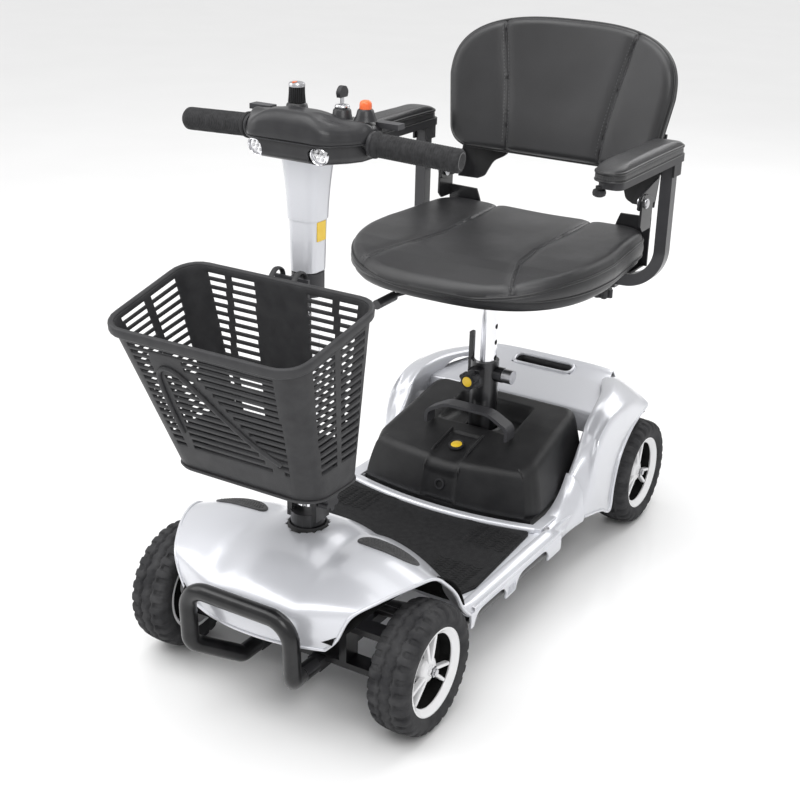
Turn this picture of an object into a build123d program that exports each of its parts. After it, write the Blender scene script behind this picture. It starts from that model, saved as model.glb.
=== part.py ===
from build123d import *
import math
import os

"""Four-wheel travel mobility scooter, in millimetres.

+Z is up, the front of the scooter faces -Y and +X is the rider's left. The origin lies on the ground,
under the middle of the whole scooter. Everything is drawn with y measured from the front axle, and
save() moves it by ORIGIN_SHIFT_Y so that the origin is under the middle.
"""

# ---- driving dimensions ----------------------------------------------------------------------------
ORIGIN_SHIFT_Y = -323.0        # front axle's place on the final Y axis
WHEEL_RADIUS = 95.0            # 190 mm (7.5 in) solid tyres
WHEEL_WIDTH = 68.0
RIM_RADIUS = 66.0
WHEELBASE = 765.0
FRONT_TRACK_HALF = 207.0       # wheel centre plane
REAR_TRACK_HALF = 189.0
KINGPIN_X = 160.0
ARM_LENGTH = 62.0              # steering arms, behind the kingpins
TILLER_Y = 28.0                # steering column axis
TILT_PIVOT_Z = 292.0
DECK_TOP = 114.0
DECK_HALF_WIDTH = 210.0
HOOD_TOP = 240.0
RAIL_X = 191.0                 # side rails of the frame
RAIL_Z = 92.0
MEMBER_Z = 131.0               # rear side members where they pass over the transaxle
SHELL = 4.0                    # wall of the plastic body panels
SIDE_WINDOWS = ((152, 252), (284, 396))
BOX_FRONT_Y = 398.0            # bowed front of the battery box
BOX_BOW_RADIUS = 580.0
SEAT_POST_Y = 546.0
SEAT_POST_RADIUS = 19.0
SOCKET_RADIUS = 24.0
SOCKET_TOP = 334.0
SEAT_PLATE_Z = 452.0
SEAT_TOP = 545.0
BACKREST_PIVOT = (716.0, 598.0)  # y, z of the folding hinge
BACKREST_RECLINE = 14.0
BACKREST_HALF_WIDTH = 206.0
ARM_X = 231.0                  # armrest post
ARM_Y = 712.0
ARM_PIVOT_Z = 664.0
RECEIVER_Z = 466.0
HEAD_Z = 797.0                 # handlebar axis
HANDLEBAR_Y = 34.0
GRIP_END_X = 214.0
BASKET_FLOOR_Z = 368.0
RUNNING_GAP = 0.05             # radial clearance of a shaft in its bore
PART_GAP = 0.4                 # air between parts of different bodies

os.makedirs("parts", exist_ok=True)


# ---- helpers ---------------------------------------------------------------------------------------
def save(name, *solids):
    """Writes one node, moved so that the origin is under the middle of the scooter."""
    shape = Compound(children=[s.moved(Location((0, ORIGIN_SHIFT_Y, 0))) for s in flatten(solids)])
    export_step(shape, f"parts/{name}.step")


def flatten(shapes):
    """Every separate solid in a list of shapes."""
    return [solid for shape in shapes for solid in shape.solids()]


def block(x, y, z):
    """A box from three (low, high) ranges."""
    size = [r[1] - r[0] for r in (x, y, z)]
    middle = [(r[1] + r[0]) / 2 for r in (x, y, z)]
    return Pos(*middle) * Box(*size)


def rod(start, end, radius):
    """A round bar between two points."""
    direction = Vector(*end) - Vector(*start)
    plane = Plane(origin=start, z_dir=direction)
    return extrude(plane * Circle(radius), direction.length)


def pipe(points, radii, radius, wall=0.0):
    """A bar, or a tube with a wall, along straight runs joined by arcs."""
    path = FilletPolyline(*points, radius=radii)
    section = Plane(origin=path @ 0, z_dir=path % 0) * Circle(radius)
    solid = sweep(section, path=path)
    if wall:
        inner = Plane(origin=path @ 0, z_dir=path % 0) * Circle(radius - wall)
        solid = solid - sweep(inner, path=path)
    return solid


def mirror_x(shape):
    """The same shape on the other side of the scooter."""
    return mirror(shape, about=Plane.YZ)


def side_profile(points, x_low, x_high):
    """A prism from (y, z) corners, drawn in the side view and run along X."""
    face = make_face(Polyline([(x_low, y, z) for y, z in points], close=True))
    return extrude(face, x_high - x_low, dir=(1, 0, 0))


def plan_profile(points, z_low, z_high, radii):
    """A prism from (x, y) corners with rounded corners, run up from z_low."""
    line = FilletPolyline([(x, y, z_low) for x, y in points], radius=radii, close=True)
    return extrude(make_face(line), z_high - z_low, dir=(0, 0, 1))


def front_profile(points, y_low, y_high, radii):
    """A prism from (x, z) corners with rounded corners, run along Y."""
    line = FilletPolyline([(x, y_low, z) for x, z in points], radius=radii, close=True)
    return extrude(make_face(line), y_high - y_low, dir=(0, 1, 0))


def star_knob(centre, direction, radius, height, lobes, stem_radius, stem_length):
    """A lobed clamp knob whose threaded stem points along direction, from the knob's face."""
    plane = Plane(origin=centre, z_dir=direction)
    body = Circle(radius * 0.72)
    for i in range(lobes):
        angle = math.radians(360 / lobes * i)
        place = Pos(radius * 0.74 * math.cos(angle), radius * 0.74 * math.sin(angle))
        body += place * Circle(radius * 0.27)
    knob = extrude(plane * body, -height)
    stem = extrude(plane * Circle(stem_radius), stem_length)
    return knob + stem


# ---- wheels ----------------------------------------------------------------------------------------
def tyre(x, y):
    """A solid tyre with a rounded shoulder and a shallow tread face, around its wheel centre."""
    half = WHEEL_WIDTH / 2
    outline = FilletPolyline(
        (-half + 6, 0, RIM_RADIUS), (-half, 0, WHEEL_RADIUS - 20), (-half + 7, 0, WHEEL_RADIUS - 3),
        (0, 0, WHEEL_RADIUS + 0.72), (half - 7, 0, WHEEL_RADIUS - 3), (half, 0, WHEEL_RADIUS - 20),
        (half - 6, 0, RIM_RADIUS), radius=(14, 8, 60, 8, 14))
    face = make_face([*outline.edges(), Line(outline @ 1, outline @ 0)])
    return Pos(x, y, WHEEL_RADIUS) * revolve(face, axis=Axis.X)


def rim(x, y, outward, bore_radius):
    """A one-piece wheel: rim, hub and three pairs of spokes, with the hub's face outward."""
    half = WHEEL_WIDTH / 2 - 6.0
    wheel_centre = Pos(x, y, WHEEL_RADIUS)
    lying = Rot(0, 90, 0)
    ring = lying * (Cylinder(RIM_RADIUS - 0.3, 2 * half) - Cylinder(RIM_RADIUS - 9.0, 2 * half))
    flange = Pos(outward * (half - 1.5), 0, 0) * lying * (
        Cylinder(RIM_RADIUS - 0.3, 3) - Cylinder(RIM_RADIUS - 17.0, 3))
    hub = lying * Cylinder(18, 2 * half - 6)
    body = ring + flange + hub
    spoke_x = outward * (half - 9)
    for i in range(3):
        for side in (-1, 1):
            angle = 120 * i + side * 15
            spoke = Pos(spoke_x, 0, RIM_RADIUS / 2) * Box(8, 6, RIM_RADIUS - 4)
            body += Rot(angle, 0, 0) * spoke
    cap = Pos(outward * (half - 1), 0, 0) * lying * Cylinder(11, 10)
    body = body + cap - lying * Cylinder(bore_radius, 2 * half - 6)
    return wheel_centre * body


for side, name in ((1, "left"), (-1, "right")):
    save(f"front_tyre_{name}", tyre(side * FRONT_TRACK_HALF, 0))
    save(f"front_rim_{name}", rim(side * FRONT_TRACK_HALF, 0, side, 8.0))
    save(f"rear_tyre_{name}", tyre(side * REAR_TRACK_HALF, WHEELBASE))
    save(f"rear_rim_{name}", rim(side * REAR_TRACK_HALF, WHEELBASE, side, 8.0))


# ---- front steering --------------------------------------------------------------------------------
def knuckle(side):
    """A stub axle on a kingpin sleeve, with a steering arm to the rear."""
    x = side * KINGPIN_X
    sleeve = Pos(x, 0, WHEEL_RADIUS) * (Cylinder(13, 50) - Cylinder(8 + RUNNING_GAP, 50))
    stub = rod((x + side * 12, 0, WHEEL_RADIUS), (side * (FRONT_TRACK_HALF + 20), 0, WHEEL_RADIUS),
               8.0 - RUNNING_GAP)
    shoulder = rod((x + side * 11, 0, WHEEL_RADIUS), (x + side * 20, 0, WHEEL_RADIUS), 12)
    arm_z = (WHEEL_RADIUS + 14, WHEEL_RADIUS + 22)
    arm = block((x - 8, x + 8), (10, ARM_LENGTH + 8), arm_z)
    pin_hole = Pos(x, ARM_LENGTH, WHEEL_RADIUS + 18) * Cylinder(5 + RUNNING_GAP, 20)
    bore = Pos(x, 0, WHEEL_RADIUS) * Cylinder(8 + RUNNING_GAP, 90)
    return sleeve + stub + shoulder + arm - pin_hole - bore


save("knuckle_left", knuckle(1))
save("knuckle_right", knuckle(-1))

ROD_Z = WHEEL_RADIUS + 30.0
tie_bar = rod((-KINGPIN_X + 9, ARM_LENGTH, ROD_Z), (KINGPIN_X - 9, ARM_LENGTH, ROD_Z), 5.5)
for side in (-1, 1):
    tie_bar += Pos(side * KINGPIN_X, ARM_LENGTH, ROD_Z) * Cylinder(11, 12)
    tie_bar += Pos(side * KINGPIN_X, ARM_LENGTH, ROD_Z - 12) * Cylinder(5, 18)
tie_bar += Pos(0, ARM_LENGTH + TILLER_Y, ROD_Z) * (Cylinder(11, 12))
tie_bar += block((-6, 6), (ARM_LENGTH, ARM_LENGTH + TILLER_Y - 8), (ROD_Z - 5, ROD_Z + 5))
tie_bar += Pos(0, ARM_LENGTH + TILLER_Y, ROD_Z + 12) * Cylinder(5, 18)
save("tie_rod", tie_bar)

COLUMN_RADIUS = 16.0
column = rod((0, TILLER_Y, 134), (0, TILLER_Y, 262), COLUMN_RADIUS)
column += block((-9, 9), (TILLER_Y, TILLER_Y + ARM_LENGTH + 9), (ROD_Z + 11, ROD_Z + 19))
column -= Pos(0, TILLER_Y + ARM_LENGTH, ROD_Z + 15) * Cylinder(5 + RUNNING_GAP, 12)
yoke = Pos(0, TILLER_Y, 256) * Cylinder(25, 24)
for side in (-1, 1):
    yoke += block(sorted((side * 17, side * 25)), (TILLER_Y - 16, TILLER_Y + 16), (258, TILT_PIVOT_Z + 16))
pivot_hole = rod((-40, TILLER_Y, TILT_PIVOT_Z), (40, TILLER_Y, TILT_PIVOT_Z), 5 + RUNNING_GAP)
save("steering_column", column + yoke - pivot_hole)


# ---- frame -----------------------------------------------------------------------------------------
def front_frame():
    """Welded tubes: head tube, kingpin beam, side rails and cross tubes."""
    head = Pos(0, TILLER_Y, 195) * Cylinder(24, 96)
    beam = block((-KINGPIN_X - 14, KINGPIN_X + 14), (-15, 15), (WHEEL_RADIUS + 26 + PART_GAP, WHEEL_RADIUS + 36))
    beam += block((-KINGPIN_X - 14, KINGPIN_X + 14), (-15, 15), (WHEEL_RADIUS - 36, WHEEL_RADIUS - 26 - PART_GAP))
    for side in (-1, 1):
        beam += Pos(side * KINGPIN_X, 0, WHEEL_RADIUS) * Cylinder(8, 70)
        beam += block(sorted((side * 84, side * 96)), (-15, 15), (WHEEL_RADIUS - 30, WHEEL_RADIUS + 30))
        beam += block(sorted((side * 40, side * 62)), (-30, 150), (WHEEL_RADIUS - 46, WHEEL_RADIUS - 28))
        rail = pipe([(side * 52, 138, RAIL_Z - 20), (side * 150, 138, RAIL_Z - 8), (side * RAIL_X, 148, RAIL_Z),
                     (side * RAIL_X, 434, RAIL_Z)], (30, 20), 14)
        beam += rail
    neck = block((-18, 18), (-12, 12), (WHEEL_RADIUS + 30, 190)) + block((-18, 18), (-12, TILLER_Y), (160, 200))
    cross_rear = rod((-RAIL_X, 410, RAIL_Z), (RAIL_X, 410, RAIL_Z), 12)
    frame = head + beam + neck + cross_rear
    bore = Pos(0, TILLER_Y, 190) * Cylinder(COLUMN_RADIUS + RUNNING_GAP, 140)
    return frame - bore


def rear_frame():
    """The rear section: side members, seat post socket, battery tray bars and motor mounts."""
    body = None
    for side in (-1, 1):
        member = pipe([(side * 150, 480, RAIL_Z), (side * 150, 650, RAIL_Z), (side * 118, 716, MEMBER_Z),
                       (side * 118, 822, MEMBER_Z)], (40, 40), 14)
        body = member if body is None else body + member
    for y, z in ((482, RAIL_Z), (SEAT_POST_Y, RAIL_Z)):
        body += rod((-150, y, z), (150, y, z), 12)
    body += rod((-118, 822, MEMBER_Z), (118, 822, MEMBER_Z), 12)
    socket = Pos(0, SEAT_POST_Y, (84 + SOCKET_TOP) / 2) * Cylinder(SOCKET_RADIUS, SOCKET_TOP - 84)
    socket -= Pos(0, SEAT_POST_Y, (96 + SOCKET_TOP) / 2 + 5) * Cylinder(SEAT_POST_RADIUS + RUNNING_GAP,
                                                                       SOCKET_TOP - 96 + 10)
    ears = block((-11, 11), (SEAT_POST_Y - 40, SEAT_POST_Y - SOCKET_RADIUS + 3), (296, 326))
    collar = rod((SOCKET_RADIUS - 3, SEAT_POST_Y, 312), (SOCKET_RADIUS + 12, SEAT_POST_Y, 312), 13)
    gusset = side_profile([(SEAT_POST_Y + 22, 100), (SEAT_POST_Y + 30, 100), (SEAT_POST_Y + 22, 205)], -3, 3)
    body = body + socket + ears + collar + gusset
    body -= rod((0, SEAT_POST_Y - 60, 312), (0, SEAT_POST_Y, 312), 5 + RUNNING_GAP)
    body -= rod((0, SEAT_POST_Y, 312), (60, SEAT_POST_Y, 312), 5 + RUNNING_GAP)
    body -= Pos(0, SEAT_POST_Y, (96 + SOCKET_TOP) / 2 + 5) * Cylinder(SEAT_POST_RADIUS + RUNNING_GAP,
                                                                     SOCKET_TOP - 96 + 10)
    latch_tab = block((-30, -22.5), (SEAT_POST_Y - 4, SEAT_POST_Y + 8), (300, 378))
    return body + latch_tab


save("front_frame", front_frame())
save("rear_frame", rear_frame())

bumper_path = [(-51, -30, 58), (-51, -64, 58), (-88, -132, 100), (-88, -138, 192),
               (88, -138, 192), (88, -132, 100), (51, -64, 58), (51, -30, 58)]
save("front_bumper", pipe(bumper_path, (12, 22, 34, 34, 22, 12), 12.5))


# ---- body panels -----------------------------------------------------------------------------------
HOOD_LINE = [(-90, 134), (-110, 150), (-119, 180), (-102, 204), (-30, 238), (20, HOOD_TOP), (60, HOOD_TOP - 2),
             (94, 226), (120, 190), (138, 148), (150, DECK_TOP)]
HOOD_PLAN = [(-112, -130), (112, -130), (146, -92), (DECK_HALF_WIDTH - 10, -30), (DECK_HALF_WIDTH, 30),
             (DECK_HALF_WIDTH, 160), (-DECK_HALF_WIDTH, 160), (-DECK_HALF_WIDTH, 30),
             (-DECK_HALF_WIDTH + 10, -30), (-146, -92)]
HOOD_CROWN = [(-DECK_HALF_WIDTH - 1, 40), (DECK_HALF_WIDTH + 1, 40), (DECK_HALF_WIDTH + 1, 206), (150, 222),
              (80, 228), (50, HOOD_TOP + 4), (-50, HOOD_TOP + 4), (-80, 228), (-150, 222),
              (-DECK_HALF_WIDTH - 1, 206)]


def hood_solid(inset):
    """The hood's solid form, shrunk by inset on its top and sides, and open below."""
    inner = [(y + (inset if y < 0 else -inset), z - inset) for y, z in HOOD_LINE]
    foot = [(inner[-1][0], 60), (inner[0][0], 60)]
    side_view = side_profile(inner + foot, -DECK_HALF_WIDTH + inset, DECK_HALF_WIDTH - inset)
    plan = [(x - math.copysign(inset, x), y + (inset if y < 0 else 0)) for x, y in HOOD_PLAN]
    crown = [(x, z - inset if z > 100 else z) for x, z in HOOD_CROWN]
    form = side_view & plan_profile(plan, 40, 300, 18)
    return form & front_profile(crown, -200, 200, (1, 1, 14, 30, 14, 14, 14, 14, 30, 14))


def box_front(z, height, grow):
    """A wide disc whose front edge follows the bowed front of the battery box, grown outward."""
    return Pos(0, BOX_FRONT_Y + BOX_BOW_RADIUS, z + height / 2) * Cylinder(BOX_BOW_RADIUS + grow, height)


def front_shroud():
    """Hood with its wheel arches, and the deck around the floor mat, as one moulding."""
    hood = hood_solid(0) - hood_solid(SHELL)
    hood -= block((-400, 400), (-200, 138), (0, 134)) + block((-400, 400), (-200, 200), (0, DECK_TOP - SHELL))
    for side in (-1, 1):
        arch = rod((side * 98, 8, WHEEL_RADIUS), (side * 320, 8, WHEEL_RADIUS), 121)
        hood -= arch
    hood -= Pos(0, TILLER_Y, 240) * Cylinder(31, 80)
    opening = block((-167, 167), (350, 560), (60, 160)) & box_front(60, 100, 1)
    deck = block((-DECK_HALF_WIDTH, DECK_HALF_WIDTH), (132, 440), (DECK_TOP - SHELL, DECK_TOP))
    deck += block((-DECK_HALF_WIDTH + 12, DECK_HALF_WIDTH - 12), (440, 536), (DECK_TOP - SHELL, DECK_TOP))
    for side in (-1, 1):
        skirt = block(sorted((side * (DECK_HALF_WIDTH - SHELL), side * DECK_HALF_WIDTH)), (132, 440),
                      (80, DECK_TOP))
        for low, high in SIDE_WINDOWS:
            skirt -= block(sorted((side * 150, side * 300)), (low, high), (60, 106))
        flare = block(sorted((side * 194, side * 198)), (440, 536), (88, DECK_TOP))
        deck += skirt + flare
    lip = block((-186, 186), (350, 470), (DECK_TOP - SHELL, DECK_TOP + 8)) & box_front(90, 60, 15)
    return hood + deck + lip - opening


save("front_shroud", front_shroud())


REAR_LINE = [(540, 106), (540, 118), (553, 165), (572, 214), (598, 240), (640, 254), (700, 258), (790, 250),
             (834, 212), (846, 124), (846, 106)]
REAR_CROWN = [(-206, 90), (206, 90), (206, 216), (184, 236), (140, 252), (60, 260), (-60, 260), (-140, 252),
              (-184, 236), (-206, 216)]


def rear_solid(inset):
    """The rear cover's solid form, shrunk by inset on its top and sides, and open below."""
    line = [(y + (inset if y < 700 else -inset), z - (inset if z > 120 else 2 * inset)) for y, z in REAR_LINE]
    crown = [(x - math.copysign(inset, x), z - inset) for x, z in REAR_CROWN]
    return side_profile(line, -206, 206) & front_profile(crown, 400, 900, (1, 1, 12, 20, 30, 30, 30, 30, 20, 12))


def rear_shroud():
    """Cover over the motor and rear wheels, with fenders and a carrying slot behind the seat."""
    outer = rear_solid(0)
    cover = outer - rear_solid(SHELL)
    cover -= block((-168, 168), (500, 640), (90, 400))
    walls = block((-172, 172), (640, 644), (150, 400))
    liner = None
    for side in (-1, 1):
        walls += block(sorted((side * 168, side * 172)), (540, 644), (106, 400))
        start, end = (side * 168, WHEELBASE, WHEEL_RADIUS), (side * 206, WHEELBASE, WHEEL_RADIUS)
        ring = rod(start, end, 115) - rod(start, end, 112)
        liner = ring if liner is None else liner + ring
    cover += (walls + liner) & outer
    cover -= plan_profile([(-58, 764), (58, 764), (58, 794), (-58, 794)], 200, 300, 10)
    for side in (-1, 1):
        x_range = sorted((side * 146, side * 240))
        cover -= rod((x_range[0], WHEELBASE, WHEEL_RADIUS), (x_range[1], WHEELBASE, WHEEL_RADIUS), 112)
        cover -= block(sorted((side * 172, side * 240)), (784, 900), (0, 400))
    return cover.solids().sort_by(SortBy.VOLUME)[-1]


save("rear_shroud", rear_shroud())

mat = plan_profile([(-172, 164), (172, 164), (184, 200), (172, 404), (-172, 404), (-184, 200)],
                   DECK_TOP, DECK_TOP + 4, 12)
save("floor_mat", mat - box_front(90, 60, 18))

toe_pads = []
for side in (-1, 1):
    outline = Rot(0, 0, side * 4) * SlotCenterToCenter(68, 28)
    toe_pads.append(Pos(side * 128, 40, 0) * extrude(outline, 400) & (hood_solid(-3) - hood_solid(0)))
save("toe_pads", *toe_pads)


# ---- drive -----------------------------------------------------------------------------------------
AXLE_RADIUS = 8.0
housing = rod((-124, WHEELBASE, WHEEL_RADIUS), (124, WHEELBASE, WHEEL_RADIUS), 21)
housing += rod((-30, WHEELBASE, WHEEL_RADIUS), (34, WHEELBASE, WHEEL_RADIUS), 46)
for side in (-1, 1):
    clamp = block(sorted((side * 108, side * 124)), (WHEELBASE - 14, WHEELBASE + 14), (WHEEL_RADIUS, MEMBER_Z))
    housing += clamp - rod((side * 118, 700, MEMBER_Z), (side * 118, 900, MEMBER_Z), 14)
for side in (-1, 1):
    housing += rod((side * 124, WHEELBASE, WHEEL_RADIUS),
                   (side * (REAR_TRACK_HALF + 20), WHEELBASE, WHEEL_RADIUS), AXLE_RADIUS - RUNNING_GAP)
save("transaxle_housing", housing)
motor = rod((2, WHEELBASE - 30, WHEEL_RADIUS + 4), (2, WHEELBASE - 112, WHEEL_RADIUS + 12), 36)
motor -= rod((-60, WHEELBASE, WHEEL_RADIUS), (60, WHEELBASE, WHEEL_RADIUS), 46 + PART_GAP)
save("drive_motor", motor)
save("controller_box", block((-62, 62), (700, 780), (172, 208)))


# ---- battery ---------------------------------------------------------------------------------------
def battery_form(inset):
    """The battery box's tapered outer form with a bowed front, shrunk by inset."""
    sections = []
    for z, half_width, front, back in ((DECK_TOP + 12, 165, BOX_FRONT_Y, 634), (250 - inset, 138, 424, 628)):
        radius = BOX_BOW_RADIUS
        outline = Pos(0, (front + back) / 2) * RectangleRounded(2 * (half_width - inset), back - front - 2 * inset, 20)
        outline &= Pos(0, front + inset + radius) * Circle(radius)
        sections.append(Plane.XY.offset(z) * outline)
    return loft(sections)


BOX_ROOF = [(380, 199), (420, 199), (628, 246), (660, 246), (660, 400), (380, 400)]
RECESS = ((-72, 72), (520, 600))
POST_HOLE = 31.0


def battery_cover():
    """The moulded cover: sloping top, front channel and the recess that the seat post passes."""
    outer = battery_form(0) - side_profile(BOX_ROOF, -200, 200)
    inner = battery_form(4) - side_profile([(y, z - 4) for y, z in BOX_ROOF], -200, 200)
    floor = block(*RECESS, (208, 212))
    walls = block((-76, 76), (516, 604), (208, 300)) & outer
    cover = outer - inner + walls
    cover -= block(*RECESS, (212, 300))
    cover -= block((-31, 31), (380, 460), (140, 300)) & (outer - battery_form(3))
    cover += floor
    cover -= Pos(0, SEAT_POST_Y, 200) * Cylinder(POST_HOLE, 300)
    return cover


save("battery_cover", battery_cover())
base = block((-160, 160), (404, 629), (DECK_TOP - 2, DECK_TOP + 12)) & box_front(90, 60, -6)
base -= block((-150, 150), (440, 620), (DECK_TOP + 2, 140))
base -= Pos(0, SEAT_POST_Y, 120) * Cylinder(POST_HOLE, 80)
save("battery_base", base)
cells = [block(sorted((side * 38, side * 128)), (446, 600), (DECK_TOP + 2.2, 196)) for side in (-1, 1)]
save("battery_cells", *cells)

HANDLE_Y = 498.0
outer_band = front_profile([(-80, 221), (-80, 244), (-42, 264), (42, 264), (80, 244), (80, 221)],
                           HANDLE_Y - 13, HANDLE_Y + 13, (2, 14, 40, 40, 14, 2))
inner_band = front_profile([(-74, 200), (-74, 240), (-40, 259), (40, 259), (74, 240), (74, 200)],
                           HANDLE_Y - 20, HANDLE_Y + 20, (2, 10, 38, 38, 10, 2))
handle = outer_band - inner_band
save("battery_handle", handle)


# ---- seat post -------------------------------------------------------------------------------------
post = rod((0, SEAT_POST_Y, 190), (0, SEAT_POST_Y, SEAT_PLATE_Z - 1), SEAT_POST_RADIUS)
post -= rod((0, SEAT_POST_Y, 180), (0, SEAT_POST_Y, SEAT_PLATE_Z + 2), SEAT_POST_RADIUS - 3)
for z in (256, 284, 312, 340, 368, 396):
    post -= rod((-40, SEAT_POST_Y, z), (40, SEAT_POST_Y, z), 4.5)
spigot = rod((0, SEAT_POST_Y, SEAT_PLATE_Z - 24), (0, SEAT_POST_Y, SEAT_PLATE_Z + 22), 12)
plug = rod((0, SEAT_POST_Y, SEAT_PLATE_Z - 24), (0, SEAT_POST_Y, SEAT_PLATE_Z - 1), SEAT_POST_RADIUS)
save("seat_post", post + plug + spigot)
save("post_clamp_knob", star_knob((0, SEAT_POST_Y - 44, 312), (0, 1, 0), 17, 16, 6, 5,
                                  44 - SEAT_POST_RADIUS - PART_GAP))
pin = rod((SEAT_POST_RADIUS + PART_GAP, SEAT_POST_Y, 312), (SOCKET_RADIUS + 14, SEAT_POST_Y, 312), 5)
pin += rod((SOCKET_RADIUS + 13, SEAT_POST_Y, 312), (SOCKET_RADIUS + 30, SEAT_POST_Y, 312), 12)
save("post_lock_pin", pin)


# ---- seat ------------------------------------------------------------------------------------------
def seat_form(z_low, z_high, inset):
    """The seat's rounded outline between two heights, shrunk by inset."""
    corners = [(-104, 340), (104, 340), (194, 406), (213, 560), (194, 744), (-194, 744), (-213, 560), (-194, 406)]
    shrunk = [(x - math.copysign(inset, x), y + (inset if y < 500 else -inset)) for x, y in corners]
    return plan_profile(shrunk, z_low, z_high, (70, 70, 70, 90, 44, 44, 90, 70))


pan_hollow = seat_form(480, 512, 19) - block((-80, 80), (SEAT_POST_Y - 66, SEAT_POST_Y + 66), (486, 512))
save("seat_pan", (seat_form(486, 516, 14) - pan_hollow) & block((-300, 300), (376, 800), (400, 600)))
cushion = seat_form(496, 548, 0)
cushion = fillet(cushion.faces().sort_by(Axis.Z)[-1].edges(), 9)
cushion &= side_profile([(320, 500), (320, 510), (348, 524), (404, 539), (500, SEAT_TOP), (750, 548), (750, 516),
                         (376, 516), (358, 500)], -300, 300)
save("seat_cushion", cushion)

plate = block((-70, 70), (SEAT_POST_Y - 60, SEAT_POST_Y + 60), (480, 486))
bearing = Pos(0, SEAT_POST_Y, (SEAT_PLATE_Z + 480) / 2) * Cylinder(34, 480 - SEAT_PLATE_Z)
bracket = plate + bearing
for side in (-1, 1):
    bracket += block(sorted((side * 52, side * 66)), (SEAT_POST_Y + 40, ARM_Y + 15), (481, 486))
bracket += block((-160, 160), (ARM_Y - 15, ARM_Y + 15), (RECEIVER_Z - 15, 482))
bracket -= block((-200, 200), (ARM_Y - 10.4, ARM_Y + 10.4), (RECEIVER_Z - 10.4, RECEIVER_Z + 10.4))
for side in (-1, 1):
    bracket -= rod((side * 134, ARM_Y, RECEIVER_Z - 40), (side * 134, ARM_Y, RECEIVER_Z), 5 + RUNNING_GAP)
bracket -= Pos(0, SEAT_POST_Y, SEAT_PLATE_Z) * Cylinder(12 + RUNNING_GAP, 60)
lever_pin = (-50, SEAT_POST_Y - 34)
bracket += Pos(*lever_pin, 472) * Cylinder(5, 16)
save("seat_bracket", bracket)

lever = pipe([(*lever_pin, 460), (-96, 486, 457), (-112, 440, 455), (-115.5, 388, 452)], (14, 20), 4)
lever += Pos(*lever_pin, 462) * Cylinder(13, 12)
lever -= Pos(*lever_pin, 468) * Cylinder(5 + RUNNING_GAP, 12)
grip = rod((-112.8, 430, 454.6), (-115.8, 382, 451.8), 8)
save("swivel_lever", lever - grip, grip)

PIVOT_Y, PIVOT_Z = BACKREST_PIVOT
brackets = []
for side in (-1, 1):
    bracket = block(sorted((side * 117, side * 194)), (745.5, 749.5), (482, 568))
    bracket += block(sorted((side * 117, side * 190)), (690, 749.5), (482, 486))
    bracket += block(sorted((side * 190, side * 194)), (PIVOT_Y - 14, 749.5), (550, PIVOT_Z + 14))
    bracket += rod((side * 182, PIVOT_Y, PIVOT_Z), (side * 197, PIVOT_Y, PIVOT_Z), 5)
    brackets.append(bracket)
save("seat_hinge_brackets", *brackets)

WRAP_RADIUS = 720.0            # the backrest wraps round the sitter
BACK_PLANE_Y = 736.0           # its padded face at the middle, before it is reclined


def reclined(shape):
    """Turns a shape drawn upright about the folding hinge to the backrest's resting slope."""
    to_pivot = Pos(0, PIVOT_Y, PIVOT_Z)
    return to_pivot * Rot(-BACKREST_RECLINE, 0, 0) * to_pivot.inverse() * shape


def backrest_form(front, back, inset):
    """The backrest's rounded outline between two depths behind its padded face."""
    half = BACKREST_HALF_WIDTH - inset
    outline = front_profile([(-half + 18, 648 + inset), (half - 18, 648 + inset), (half, 770), (half - 8, 880 - inset),
                             (8 - half, 880 - inset), (-half, 770)], 600, 900, (36, 36, 200, 90, 90, 200))
    centre = Pos(0, BACK_PLANE_Y - WRAP_RADIUS, 770)
    wrap = centre * (Cylinder(WRAP_RADIUS + back, 400) - Cylinder(WRAP_RADIUS + front, 400))
    return outline & wrap & block((-300, 300), (600, 900), (560, 960))


save("backrest_shell", reclined(backrest_form(26, 33, 2)))
save("backrest_cushion", reclined(backrest_form(0, 26, 0)))

legs = []
LEG_Y = BACK_PLANE_Y + 33.4    # flat plates behind the shell
for side in (-1, 1):
    leg = block(sorted((side * 100, side * 189.5)), (LEG_Y, LEG_Y + 4), (PIVOT_Z - 6, 720))
    leg += block(sorted((side * 185.5, side * 189.5)), (PIVOT_Y - 13, LEG_Y + 4), (PIVOT_Z - 13, 640))
    leg += block(sorted((side * 185.5, side * 189.5)), (LEG_Y - 16, LEG_Y + 4), (638, 720))
    leg -= rod((side * 170, PIVOT_Y, PIVOT_Z), (side * 220, PIVOT_Y, PIVOT_Z), 5 + RUNNING_GAP)
    legs.append(reclined(leg))
save("backrest_brackets", *legs)


# ---- armrests --------------------------------------------------------------------------------------
def arm_tube(side):
    """A square tube that slides in the receiver, bends up and carries the pad's hinge."""
    path = FilletPolyline((side * 62, ARM_Y, RECEIVER_Z), (side * ARM_X, ARM_Y, RECEIVER_Z),
                          (side * ARM_X, ARM_Y, ARM_PIVOT_Z), radius=60)
    tube = sweep(Plane(origin=path @ 0, z_dir=path % 0) * Rectangle(20, 20), path=path)
    tube += rod((side * (ARM_X - 10), ARM_Y, ARM_PIVOT_Z), (side * (ARM_X + 10), ARM_Y, ARM_PIVOT_Z), 10)
    return tube - rod((side * 190, ARM_Y, ARM_PIVOT_Z), (side * 260, ARM_Y, ARM_PIVOT_Z), 5 + RUNNING_GAP)


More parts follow.
